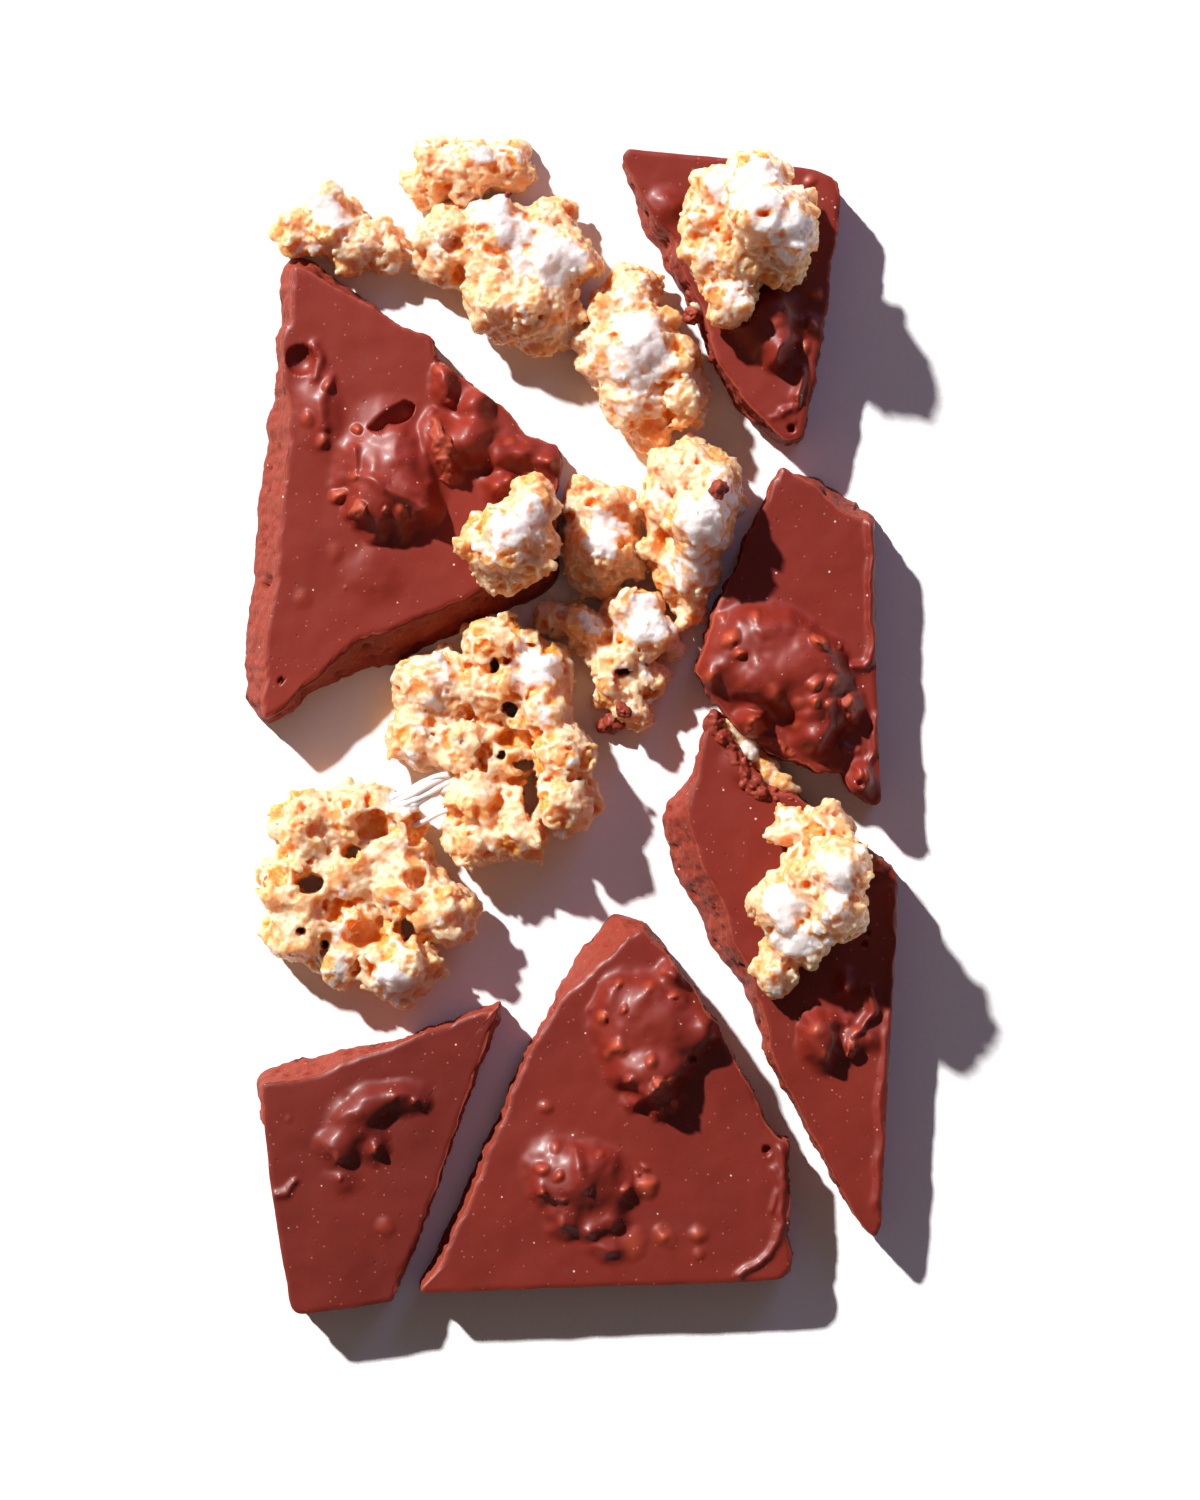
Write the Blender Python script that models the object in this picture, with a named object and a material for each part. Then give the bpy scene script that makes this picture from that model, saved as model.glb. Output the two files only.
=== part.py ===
"""A crisped rice chocolate bar, broken up: six shards of the slab and twelve rice clusters.

Sizes and places in the tables are in millimetres, with +X to the right across the bar, +Y along it
and +Z up. The slab lies on its flat moulded face at Z = 0, and its poured face, with the crisps that
stand out of it, is on top. The bar still keeps its rectangle of about 97 by 172 mm.
"""
import math
import random

import bmesh
import bpy
from mathutils import Vector, noise
from mathutils.geometry import delaunay_2d_cdt

MM = 0.001
SLAB = 8.0                # thickness of the poured slab
RIM_DROP = 0.6            # the slab's top edge lies this much under its face
REST_GAP = 0.3            # clearance between a cluster and the shard it lies on
EDGE_STEP = 2.4           # spacing of the points round a shard
TOP_STEP = 1.8            # spacing of the points on the raised parts of a top, doubled on the flat
FRACTURE = 0.35           # how far a broken edge wanders
GRAIN_LENGTH = 6.2        # one puffed grain
GRAIN_WIDTH = 3.3
GRAIN_ROOM = 2.7          # how far a grain's middle stays from what is beside its cluster
LUMP_CORE = 0.9           # size of a lump's core, which the grains fill out
GRAIN_SEAT = 0.82         # where a grain's middle lies, as a part of its lump's radius
LOBE_SINK = 0.4           # height of a lump's middle, as a part of its top
TRIANGLES_PER_GRAIN = 24  # how finely a cluster's skin is kept
CENTRE = (0.47, 0.37)     # middle of the whole, which becomes the origin

# Points of each shard's top edge, clockwise from its upper left, as (x, y, foot). The foot is how far
# the broken wall slopes out from the top edge to the floor.
SHARD_EDGES = {
    "shard_left": [
        (-40.5, 68, 2.4), (-33, 64, 1.2), (-25, 59.5, 0), (-20, 57, 0), (-20, 55, 0), (-18, 53, 0),
        (-13, 49.5, 0), (-8.5, 46, 0), (-6.5, 43, 0), (-1.5, 41.5, 0), (-1, 38.5, 0), (-2, 33, 0),
        (-2, 27.5, 0.3), (-3.5, 22.5, 2), (-12, 20.5, 4.4), (-21, 16, 3.8), (-27, 14, 4.7),
        (-31, 12.5, 4.3), (-37.5, 6.5, 1), (-42.5, 2.5, 0.6), (-45, 1, 0.8), (-45, 4, 3.2),
        (-44.5, 12.5, 3.5), (-43, 22.5, 3.9), (-42, 33.5, 4), (-41, 47.5, 3.6), (-42, 51, 1.6),
        (-42, 57, 1.3), (-41, 60, 2)],
    "shard_upper": [
        (8.5, 85, 0), (24, 83.5, 0), (36, 82, 0), (39.5, 80.5, 0), (39.5, 73, 0), (37, 55.5, 0),
        (34.5, 42, 0), (32, 41.5, 0), (26, 48, 1.2), (21.5, 54, 0.2), (19.5, 62, 1.3), (17, 66, 1.2),
        (15.5, 71, 2), (13, 74.5, 1.9), (10.5, 78.5, 0.3), (8, 83.5, 0)],
    "shard_right": [
        (31.5, 38.5, 0), (36, 35.5, 1.8), (41.5, 30.5, 2.8), (44.8, 30.5, 0.8), (45.3, 18.5, 0),
        (45.2, 10, 0), (45.8, -7, 0), (46, -11, 0), (45.2, -12, 0), (41, -9, 0), (40.4, -7, 0),
        (36.7, -7, 0), (34, -5, 0.3), (29.6, -4.2, 0.3), (26, -1.5, 0.3), (20, 5.5, 0), (18.8, 8, 0),
        (20.8, 15.5, 0.5), (24.5, 22.7, 0), (27.4, 30.4, 0.3), (30, 35, 0.3)],
    "shard_lower": [
        (21.7, 1.3, 0), (23, -2.5, 1.6), (26, -7, 2.3), (29.6, -9.3, 2), (34, -10.5, 0.4),
        (41.7, -16.5, 0), (48, -21, 0.4), (48.5, -23.5, 0), (48.3, -30, 0), (47, -52, 0),
        (46, -73.5, 0), (45, -75, 0), (42.5, -72.5, 0.3), (35, -58.5, 0.4), (30.5, -50, 0.7),
        (27.5, -38, 1.5), (25, -33, 3), (22.3, -25.5, 3.8), (19, -19.5, 4), (17.5, -13, 3.6),
        (18.5, -8.5, 0.9), (20, -1, 0)],
    "shard_base": [
        (10.7, -30, 0.9), (13.8, -33, 0), (17.6, -37.5, 0), (21.7, -44, 0), (29, -58, 0),
        (31.5, -61, 0), (32.3, -61, 0), (32.6, -79.5, 0), (31.5, -81.3, 0), (26, -81.8, 0),
        (4.5, -82.4, 0), (-21, -83.3, 0.4), (-22, -83, 0.5), (-19, -79, 1.1), (-14, -68, 1.1),
        (-10, -58.5, 0.6), (-5.7, -47.5, 0.3), (-2, -41, 0.5), (3.2, -36, 2.9), (9, -31, 4)],
    "shard_corner": [
        (-45.2, -52.5, 1.4), (-39.5, -52, 2.8), (-33, -49.5, 1.4), (-25, -46.5, 0), (-14, -42.5, 0.1),
        (-11, -42, 0.5), (-10.2, -40.7, 0.2), (-10.8, -43, 0.7), (-13, -49, 0.4), (-19, -67, 0.1),
        (-25, -82, 0), (-26, -84.7, 0), (-39.5, -86.5, 0), (-40.7, -86, 0), (-42, -79, 0),
        (-44, -66.5, 0)],
}

# Crisps under the chocolate that raise a shard's top, as (x, y, radius in x, radius in y, rise).
SHARD_LOBES = {
    "shard_left": [
        (-25.5, 37, 6.6, 7.4, 5), (-25.5, 30, 6.6, 3.3, 4.2), (-30, 31, 1.8, 1.8, 3.5),
        (-21, 31, 1.8, 2, 3.2), (-16.7, 42, 4, 5, 4.5), (-13.8, 45, 2.5, 3, 4.5),
        (-17.4, 49.5, 2.2, 2.5, 3.2), (-18.2, 37.7, 2.5, 3, 3), (-9.3, 40, 3.2, 3.5, 3),
        (-10, 36.3, 2.8, 2.2, 2.5), (-6.4, 40.5, 2.2, 2, 2.3), (-36, 47, 1.5, 4, 0.8),
        (-28.2, 21.8, 2.4, 2.4, 1.2)],
    "shard_upper": [
        (14.2, 76.3, 2, 2.2, 1.8), (29.6, 59.8, 5.4, 5.9, 3.5), (31.8, 56, 1.8, 3.2, 4.5),
        (34.2, 51, 1.5, 4.5, 1)],
    "shard_right": [
        (23.8, 10, 3.7, 3.9, 4), (29, 11.3, 5.1, 5.1, 5), (32.6, 6.8, 5.1, 5.1, 5.8),
        (28.2, 5.4, 5.1, 3.4, 6), (37, 9.8, 3.9, 3.9, 5.5), (39.2, 5.4, 3.7, 3.7, 5.2),
        (36.3, -1.3, 3.2, 3.2, 5.8), (27.6, 0.4, 2.6, 1.8, 4.5), (43.5, -7.6, 1.8, 2, 1.5)],
    "shard_lower": [
        (37.7, -45.4, 3.2, 3.7, 4.5), (41.6, -39, 1.8, 2.5, 2.3), (43, -45.6, 1.6, 2.8, 2.6),
        (25.5, -5.5, 2, 2, 1.2), (30.5, -11, 2.5, 1.6, 1.2), (44.6, -20.4, 2.4, 1.7, 1.1)],
    "shard_base": [
        (12.7, -45.4, 7.4, 8.1, 5), (8.3, -38.4, 1.8, 3, 5), (12.2, -39.5, 2.2, 3.2, 5.5),
        (19, -43.4, 2.3, 2.6, 5), (12.5, -53.8, 4, 2, 5.5), (-1.3, -66.7, 4.4, 5.9, 4),
        (2.4, -69.6, 3.5, 3.7, 4), (4.8, -66.2, 3.9, 3.9, 4.2), (0.2, -74, 2.9, 2.9, 3.5),
        (10.5, -77.5, 2.9, 2.6, 3)],
    "shard_corner": [
        (-28.5, -54.2, 4.4, 2.4, 2.5), (-24.8, -54.2, 2.6, 2, 3), (-32.9, -57.9, 3.2, 3.2, 2),
        (-34.6, -61.5, 2.6, 2.8, 2.8)],
}

# Lumps of puffed rice and marshmallow in each cluster, as (x, y, radius in x, radius in y, top).
CLUSTER_LOBES = {
    "cluster_corner": [
        (-40, 73.3, 2.5, 2.4, 5.5), (-35.2, 75, 3.6, 4.8, 7.5), (-31.6, 71.6, 4.4, 3.2, 6.5),
        (-27.6, 71, 2.6, 2.9, 5.5)],
    "cluster_north": [
        (-19, 83, 3.4, 3.5, 7), (-21.2, 80.4, 2.8, 1.9, 4.5), (-14.6, 82.5, 4, 3.9, 7.5),
        (-9.4, 82.8, 3.7, 3.5, 6.5)],
    "cluster_crown": [
        (-17.4, 72.8, 4.7, 4, 8), (-18.6, 69, 4, 3.2, 6.5), (-10.4, 73.2, 5.4, 4.8, 10.5),
        (-3.2, 73.4, 4.3, 4.2, 8.5), (-1.8, 68.6, 5.8, 4.4, 11), (-9.8, 67.4, 6, 4.6, 10),
        (-7.6, 62.6, 7.8, 5.6, 11.5), (-2.6, 61.6, 3.8, 4.2, 8), (-3.5, 58.5, 4.2, 2.2, 7)],
    "cluster_middle": [
        (6.3, 61.8, 2.6, 3.2, 8.5), (9.6, 63.4, 3.4, 4, 9), (10.4, 56, 6, 6.6, 12),
        (5.4, 55.4, 3, 5.2, 9), (15.4, 53, 3.8, 3.4, 10.5), (17.2, 48.6, 2.9, 3.5, 10.5),
        (9.4, 48.4, 4.2, 4, 9), (13.8, 48.6, 3, 3, 7), (12.4, 43.8, 3, 2.6, 5)],
    "cluster_tower": [
        (17.8, 37.2, 5.5, 4.6, 14), (21.6, 34.6, 3.6, 5.4, 16), (19.2, 30, 4.7, 5, 19),
        (14, 32.4, 2.7, 4.8, 10), (15.2, 27, 3.3, 3.5, 9.5), (18.6, 23.8, 3.1, 4.6, 11),
        (15.8, 22.2, 2.3, 3.2, 7), (18, 18.2, 1.8, 3.4, 6)],
    "cluster_neck": [
        (2, 32.6, 2.4, 2.7, 8), (5, 32.4, 2.9, 2.9, 9), (7.7, 32, 2, 2.8, 7),
        (2, 26.8, 2.3, 4.6, 8), (5.1, 26.6, 4.2, 4.5, 10), (7.8, 25.4, 2.2, 3.2, 7),
        (4.8, 22, 3.6, 2.2, 5)],
    "cluster_arch": [
        (-1.6, 16.2, 2.8, 1.6, 5), (2.6, 14.6, 2.8, 2.6, 6.5), (9.4, 17.2, 3.8, 2.6, 8.5),
        (11, 13.8, 3.8, 3.4, 9.5), (7.4, 10, 4.4, 3.4, 7.5), (14.9, 12.3, 1.9, 1.5, 4),
        (6.7, 6, 2.8, 2.9, 7), (11.3, 6.6, 2.4, 2, 6), (9.6, 2.8, 2, 3, 6.5)],
    "cluster_shelf": [
        (-12, 26.6, 3.4, 4.2, 8), (-5.6, 31.4, 2.7, 4.5, 10), (-5, 25.8, 2.6, 4.5, 8),
        (-8.4, 27, 4.3, 4.8, 11), (-8.8, 22.8, 4.2, 2.6, 5)],
    "cluster_lace": [
        (-10.6, 12.2, 5.4, 3.8, 9), (-4, 8.8, 3.8, 4, 9.5), (-20, 6.2, 6.2, 5, 8.5),
        (-11.5, 5.4, 6, 5, 9), (-3.8, 2.6, 4, 4.6, 10.5), (-22.2, -0.8, 4.8, 4.2, 7.5),
        (-15.6, -3, 5, 4.6, 8.5), (-9.6, -4, 4.2, 4.4, 8.5), (-0.8, -4.2, 4.6, 5, 12.5),
        (-0.8, -11, 4.7, 4.2, 13), (-13.6, -11, 4.8, 4.6, 10), (-7.2, -12.4, 3.8, 3.6, 10),
        (-13.6, -17, 4.4, 3.2, 10.5), (-7.6, -16.6, 3.8, 2.8, 11.5)],
    "cluster_disc": [
        (-38.6, -14.8, 4.9, 5.2, 9), (-31, -13, 5.8, 4.6, 9), (-24.8, -15.8, 4.4, 4.4, 8.5),
        (-40.4, -23.6, 5.2, 5.6, 9.5), (-32.4, -21.4, 6, 5.8, 8), (-23.8, -23.8, 5.4, 5.2, 9.5),
        (-40, -30.4, 5.2, 4.4, 9.5), (-32.2, -30.4, 5.2, 5, 8), (-18.4, -27.4, 4.2, 4.6, 11),
        (-25.4, -35.2, 5.8, 5.2, 11.5), (-33.6, -35, 3.8, 2.6, 8)],
    "cluster_perch": [
        (20.4, 72.8, 3.9, 4.4, 8), (21.6, 78, 3.4, 3.5, 8), (27.4, 79.4, 4.3, 4.2, 12),
        (28, 74, 5.2, 5.4, 16.5), (32.4, 72.4, 3.3, 5.2, 15.5), (31, 67.8, 3.6, 3.2, 9),
        (24.4, 67.8, 4.2, 4.2, 8), (20.8, 68, 3, 3.2, 7), (24, 62.2, 3, 3.8, 7)],
    "cluster_ledge": [
        (32.8, -15, 2.9, 2, 6), (37.4, -15.2, 3.6, 3.2, 9), (39.4, -20.6, 4.4, 4.4, 16.5),
        (39.2, -26.2, 4, 4.4, 14.5), (34.6, -22.8, 3.6, 4, 11), (31.2, -26, 3.8, 4.2, 9),
        (34, -30.8, 4.4, 3.5, 8), (30.4, -35.6, 2.5, 2.8, 4.5)],
}

# The clusters that lie on a shard, and how many grains stand out of each cluster.
LIES_ON = {"cluster_shelf": "shard_left", "cluster_perch": "shard_upper", "cluster_ledge": "shard_lower"}
GRAIN_COUNTS = {
    "cluster_corner": 14, "cluster_north": 14, "cluster_crown": 32, "cluster_middle": 28,
    "cluster_tower": 30, "cluster_neck": 17, "cluster_arch": 20, "cluster_shelf": 16,
    "cluster_lace": 42, "cluster_disc": 38, "cluster_perch": 30, "cluster_ledge": 26}


def clear_scene():
    """Remove every object, with the meshes and materials that no object keeps."""
    for item in list(bpy.data.objects):
        bpy.data.objects.remove(item, do_unlink=True)
    bpy.data.orphans_purge(do_recursive=True)


def make_material(name, colour, roughness):
    """A Principled material, with its colour in linear light."""
    material = bpy.data.materials.new(name)
    material.use_nodes = True
    shader = material.node_tree.nodes["Principled BSDF"]
    shader.inputs["Base Color"].default_value = (*colour, 1.0)
    shader.inputs["Roughness"].default_value = roughness
    return material


def ripple(x, y, size, seed):
    """Even noise between about -1 and 1 whose bumps are about size across."""
    return noise.noise(Vector((x / size, y / size, seed * 7.3)))


def closed_outline(points, step):
    """The closed outline through the points, cut into even steps, with the foot carried along."""
    run = []
    for start, end in zip(points, points[1:] + points[:1]):
        length = math.dist(start[:2], end[:2])
        pieces = max(1, round(length / step))
        for piece in range(pieces):
            part = piece / pieces
            run.append(tuple(a + (b - a) * part for a, b in zip(start, end)))
    return run


def outward(run, index):
    """The unit direction out of a clockwise outline at one of its points."""
    before = run[index - 1]
    after = run[(index + 1) % len(run)]
    along = Vector((after[0] - before[0], after[1] - before[1]))
    return Vector((-along.y, along.x)).normalized()


def relief(lobes, x, y, margin=0.0):
    """How far the crisps under the chocolate, widened by a margin, raise a top at one place."""
    total = 0.0
    for lobe_x, lobe_y, radius_x, radius_y, rise in lobes:
        reach = ((x - lobe_x) / (radius_x + margin)) ** 2 + ((y - lobe_y) / (radius_y + margin)) ** 2
        if reach < 1.0:
            total += (rise * (1.0 - reach) ** 0.8) ** 4
    return total ** 0.25


def inside(run, x, y):
    """Whether a point lies inside the closed outline."""
    crossings = 0
    for start, end in zip(run, run[1:] + run[:1]):
        if (start[1] > y) != (end[1] > y):
            cross_x = start[0] + (end[0] - start[0]) * (y - start[1]) / (end[1] - start[1])
            crossings += cross_x > x
    return crossings % 2 == 1


def distance_to_edge(run, x, y):
    """Distance from a point to the nearest side of the closed outline."""
    nearest = 1e9
    for start, end in zip(run, run[1:] + run[:1]):
        side_x, side_y = end[0] - start[0], end[1] - start[1]
        part = ((x - start[0]) * side_x + (y - start[1]) * side_y) / (side_x ** 2 + side_y ** 2)
        part = min(1.0, max(0.0, part))
        gap = math.hypot(x - start[0] - part * side_x, y - start[1] - part * side_y)
        nearest = min(nearest, gap)
    return nearest


def top_points(run, lobes):
    """Points in even rows inside the outline, clear of its edge, twice as close on the lobes."""
    xs = [point[0] for point in run]
    ys = [point[1] for point in run]
    row_step = TOP_STEP * math.sqrt(3.0) / 2.0
    points = []
    for row in range(int((max(ys) - min(ys)) / row_step) + 1):
        y = min(ys) + row * row_step
        for column in range(int((max(xs) - min(xs)) / TOP_STEP) + 2):
            x = min(xs) + (column + 0.5 * (row % 4)) * TOP_STEP
            raised = relief(lobes, x, y, 0.4 * TOP_STEP) > 0.0
            sparse = row % 2 == 0 and column % 2 == 0
            if (raised or sparse) and inside(run, x, y) and distance_to_edge(run, x, y) > 0.6 * TOP_STEP:
                points.append((x, y))
    return points


def shard_mesh(name):
    """One shard as a closed mesh: flat face, broken walls and the raised top."""
    seed = list(SHARD_EDGES).index(name)
    run = closed_outline(SHARD_EDGES[name], EDGE_STEP)
    lobes = SHARD_LOBES[name]
    rim = []
    wall = []
    floor = []
    for index, (x, y, foot) in enumerate(run):
        out = outward(run, index)
        wander = FRACTURE * ripple(x, y, 3.0, seed)
        crag = 1.2 * FRACTURE * ripple(x, y, 2.2, seed + 5)
        rim.append((x + out.x * wander, y + out.y * wander))
        wall.append((x + out.x * (0.45 * foot + crag), y + out.y * (0.45 * foot + crag)))
        floor.append((x + out.x * (foot + wander), y + out.y * (foot + wander)))
    inner = top_points(rim, lobes)
    count = len(run)
    corners = [Vector(point) for point in rim + inner]
    sides = [(index, (index + 1) % count) for index in range(count)]
    flat, _, triangles, origin, _, _ = delaunay_2d_cdt(corners, sides, [], 1, 1e-5, True)
    mesh = bmesh.new()
    top = []
    for position, source in zip(flat, origin):
        x, y = position
        on_rim = bool(source) and source[0] < count
        height = SLAB + relief(lobes, x, y) + 0.12 * ripple(x, y, 6.0, seed)
        top.append(mesh.verts.new((x, y, height - (RIM_DROP if on_rim else 0.0))))
    place = {source[0]: top[index] for index, source in enumerate(origin) if source}
    for triangle in triangles:
        middle = (flat[triangle[0]] + flat[triangle[1]] + flat[triangle[2]]) / 3.0
        if inside(rim, middle.x, middle.y):
            mesh.faces.new([top[index] for index in triangle])
    rings = [
        [place[index] for index in range(count)],
        [mesh.verts.new((x, y, 0.52 * SLAB)) for x, y in wall],
        [mesh.verts.new((x, y, 0.0)) for x, y in floor]]
    for upper, lower in zip(rings, rings[1:]):
        for index in range(count):
            after = (index + 1) % count
            mesh.faces.new((upper[index], upper[after], lower[after]))
            mesh.faces.new((upper[index], lower[after], lower[index]))
    mesh.faces.new(rings[-1])
    bmesh.ops.triangulate(mesh, faces=mesh.faces[:])
    bmesh.ops.recalc_face_normals(mesh, faces=mesh.faces[:])
    return mesh


def grown(mesh, gap):
    """The same closed mesh with its skin moved out by a gap."""
    mesh.normal_update()
    for vert, way in [(vert, vert.normal.copy()) for vert in mesh.verts]:
        vert.co += way * gap
    return mesh


def lobe_height(lobe, base):
    """Middle height and half height of a lump, whose foot reaches below what it stands on."""
    top = lobe[4]
    return base + LOBE_SINK * top, (1.0 - LOBE_SINK) * top


def within(lobe, base, point, share):
    """Whether a point lies inside a lump shrunk to a share of its size."""
    middle, half = lobe_height(lobe, base)
    reach = ((point.x - lobe[0]) / lobe[2]) ** 2 + ((point.y - lobe[1]) / lobe[3]) ** 2
    return reach + ((point.z - middle) / half) ** 2 < share ** 2


def crowded(name, point):
    """Whether a grain here would come too close to a neighbouring cluster or shard."""
    for other, lobes in CLUSTER_LOBES.items():
        near = [lobe for lobe in lobes if math.hypot(
            (point.x - lobe[0]) / (lobe[2] + GRAIN_ROOM), (point.y - lobe[1]) / (lobe[3] + GRAIN_ROOM)) < 1.0]
        if other != name and near:
            return True
    if name in LIES_ON:
        return False
    return any(distance_to_edge(edge, point.x, point.y) < GRAIN_ROOM for edge in SHARD_EDGES.values())


def grain_layout(name, base):
    """Grains on the outside of the lumps, each as far from the others as a few tries find."""
    lobes = CLUSTER_LOBES[name]
    draw = random.Random(list(CLUSTER_LOBES).index(name))
    weights = [lobe[2] * lobe[3] for lobe in lobes]
    placed = []
    for _ in range(GRAIN_COUNTS[name]):
        best = None
        best_gap = -1.0
        for _ in range(14):
            lobe = draw.choices(lobes, weights)[0]
            middle, half = lobe_height(lobe, base)
            turn = draw.uniform(0.0, math.tau)
            lift = draw.uniform(-0.1, 1.0)
            flat = math.sqrt(1.0 - lift * lift)
            point = Vector((
                lobe[0] + GRAIN_SEAT * lobe[2] * flat * math.cos(turn),
                lobe[1] + GRAIN_SEAT * lobe[3] * flat * math.sin(turn),
                middle + GRAIN_SEAT * half * lift))
            spin = turn + math.pi / 2.0 + draw.uniform(-0.9, 0.9)
            tip = draw.uniform(-0.5, 0.5)
            size = draw.uniform(0.75, 1.1)
            if any(within(other, base, point, 0.9 * GRAIN_SEAT) for other in lobes):
                continue
            if crowded(name, point):
                continue
            gap = min([(point - other[0]).length for other in placed], default=99.0)
            if gap > best_gap:
                best = (point, spin, tip, size)
                best_gap = gap
        if best:
            placed.append(best)
    return placed


def mesh_object(name, mesh, collection):
    """A new object that holds the bmesh."""
    data = bpy.data.meshes.new(name)
    mesh.to_mesh(data)
    mesh.free()
    item = bpy.data.objects.new(name, data)
    collection.objects.link(item)
    return item


def lump_mesh(lobe, base, seed):
    """One lump: a ball pressed to its own width, depth and height, with an uneven skin."""
    middle, half = lobe_height(lobe, base)
    mesh = bmesh.new()
    bmesh.ops.create_icosphere(mesh, subdivisions=2, radius=1.0)
    for vert in mesh.verts:
        swell = 1.0 + 0.2 * noise.noise(vert.co * 1.9 + Vector((seed, seed * 0.37, 0.0)))
        vert.co = Vector((
            lobe[0] + vert.co.x * lobe[2] * swell * LUMP_CORE,
            lobe[1] + vert.co.y * lobe[3] * swell * LUMP_CORE,
            middle + vert.co.z * half * swell * LUMP_CORE))
    return mesh


def grain_mesh(point, spin, tip, size):
    """One puffed grain: a long ball with five sides, lying along its own direction."""
    mesh = bmesh.new()
    bmesh.ops.create_uvsphere(mesh, u_segments=5, v_segments=4, radius=1.0)
    along = Vector((math.cos(spin) * math.cos(tip), math.sin(spin) * math.cos(tip), math.sin(tip)))
    turn = along.to_track_quat("Z", "Y")
    for vert in mesh.verts:
        own = Vector((
            vert.co.x * GRAIN_WIDTH / 2.0, vert.co.y * GRAIN_WIDTH / 2.0,
            vert.co.z * GRAIN_LENGTH / 2.0))
        vert.co = point + turn @ (own * size)
    return mesh


def floor_block(base):
    """A block whose top is the level that a cluster stands on."""
    mesh = bmesh.new()
    bmesh.ops.create_cube(mesh, size=1.0)
    for vert in mesh.verts:
        vert.co = Vector((vert.co.x * 400.0, vert.co.y * 400.0, base + (vert.co.z - 0.5) * 40.0))
    return mesh


def keep_evaluated(item):
    """Give the object the mesh that its modifiers make, and remove them."""
    evaluated = item.evaluated_get(bpy.context.evaluated_depsgraph_get())
    result = bpy.data.meshes.new_from_object(evaluated)
    item.modifiers.clear()
    item.data = result


def thin_out(item, triangles):
    """Merge the short edges that joining leaves, down to about the number of triangles to keep."""
    item.data.calc_loop_triangles()
    decimate = item.modifiers.new("thin", "DECIMATE")
    decimate.ratio = triangles / len(item.data.loop_triangles)
    keep_evaluated(item)


def apply_boolean(item, operation, other):
    """Join a collection to the object, or cut another object from it, and keep the result."""
    boolean = item.modifiers.new("join", "BOOLEAN")
    boolean.operation = operation
    boolean.solver = "MANIFOLD"
    if isinstance(other, bpy.types.Collection):
        boolean.operand_type = "COLLECTION"
        boolean.collection = other
    else:
        boolean.object = other
    keep_evaluated(item)


def keep_largest(item):
    """Drop what is not joined to the main body: loose scraps and the skins of sealed hollows."""
    mesh = bmesh.new()
    mesh.from_mesh(item.data)
    left = set(mesh.verts)
    bodies = []
    while left:
        body = set()
        edge = [left.pop()]
        while edge:
            vert = edge.pop()
            body.add(vert)
            for link in vert.link_edges:
                other = link.other_vert(vert)
                if other in left:
                    left.remove(other)
                    edge.append(other)
        bodies.append(body)
    bodies.sort(key=len)
    for body in bodies[:-1]:
        bmesh.ops.delete(mesh, geom=list(body), context="VERTS")
    bmesh.ops.triangulate(mesh, faces=mesh.faces[:])
    mesh.to_mesh(item.data)
    mesh.free()


def build_cluster(name, scene_collection):
    """One cluster: its lumps and standing grains joined, and cut to what it lies on."""
    shard = LIES_ON.get(name)
    base = SLAB + REST_GAP if shard else 0.0
    pieces = [lump_mesh(lobe, base, index) for index, lobe in enumerate(CLUSTER_LOBES[name])]
    pieces += [grain_mesh(*grain) for grain in grain_layout(name, base)]
    item = mesh_object(name, pieces[0], scene_collection)
    heap = bpy.data.collections.new("heap")
    scene_collection.children.link(heap)
    for index, piece in enumerate(pieces[1:]):
        mesh_object(f"piece_{index}", piece, heap)
    apply_boolean(item, "UNION", heap)
    thin_out(item, GRAIN_COUNTS[name] * TRIANGLES_PER_GRAIN)
    for piece in list(heap.objects):
        bpy.data.objects.remove(piece, do_unlink=True)
    bpy.data.collections.remove(heap)
    support = grown(shard_mesh(shard), REST_GAP) if shard else floor_block(0.0)
    cutter = mesh_object("support", support, scene_collection)
    apply_boolean(item, "DIFFERENCE", cutter)
    bpy.data.objects.remove(cutter, do_unlink=True)
    if shard:
        cutter = mesh_object("support", floor_block(base - 1.2), scene_collection)
        apply_boolean(item, "DIFFERENCE", cutter)
        bpy.data.objects.remove(cutter, do_unlink=True)
    keep_largest(item)
    return item


def settle(item, material):
    """Turn millimetres into metres about the middle of the whole, and give the piece its material."""
    for vert in item.data.vertices:
        vert.co = Vector((vert.co.x - CENTRE[0], vert.co.y - CENTRE[1], vert.co.z)) * MM
    item.data.materials.clear()
    item.data.materials.append(material)
    item.data.update()


def main():
    clear_scene()
    collection = bpy.context.scene.collection
    chocolate = make_material("chocolate", (0.22, 0.055, 0.035), 0.35)
    crisp = make_material("crisped_rice", (0.76, 0.46, 0.24), 0.6)
    for name in SHARD_EDGES:
        settle(mesh_object(name, shard_mesh(name), collection), chocolate)
    for name in CLUSTER_LOBES:
        settle(build_cluster(name, collection), crisp)


main()
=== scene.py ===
"""Looks of the crisped rice chocolate bar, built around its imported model.

Six shards of poured chocolate and twelve clusters of puffed rice and marshmallow take the places and
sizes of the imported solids. Tables are in millimetres, with +X to the right, +Y up the bar and +Z up.
The file is laid out as an add-on and is run as a script.
"""

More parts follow.
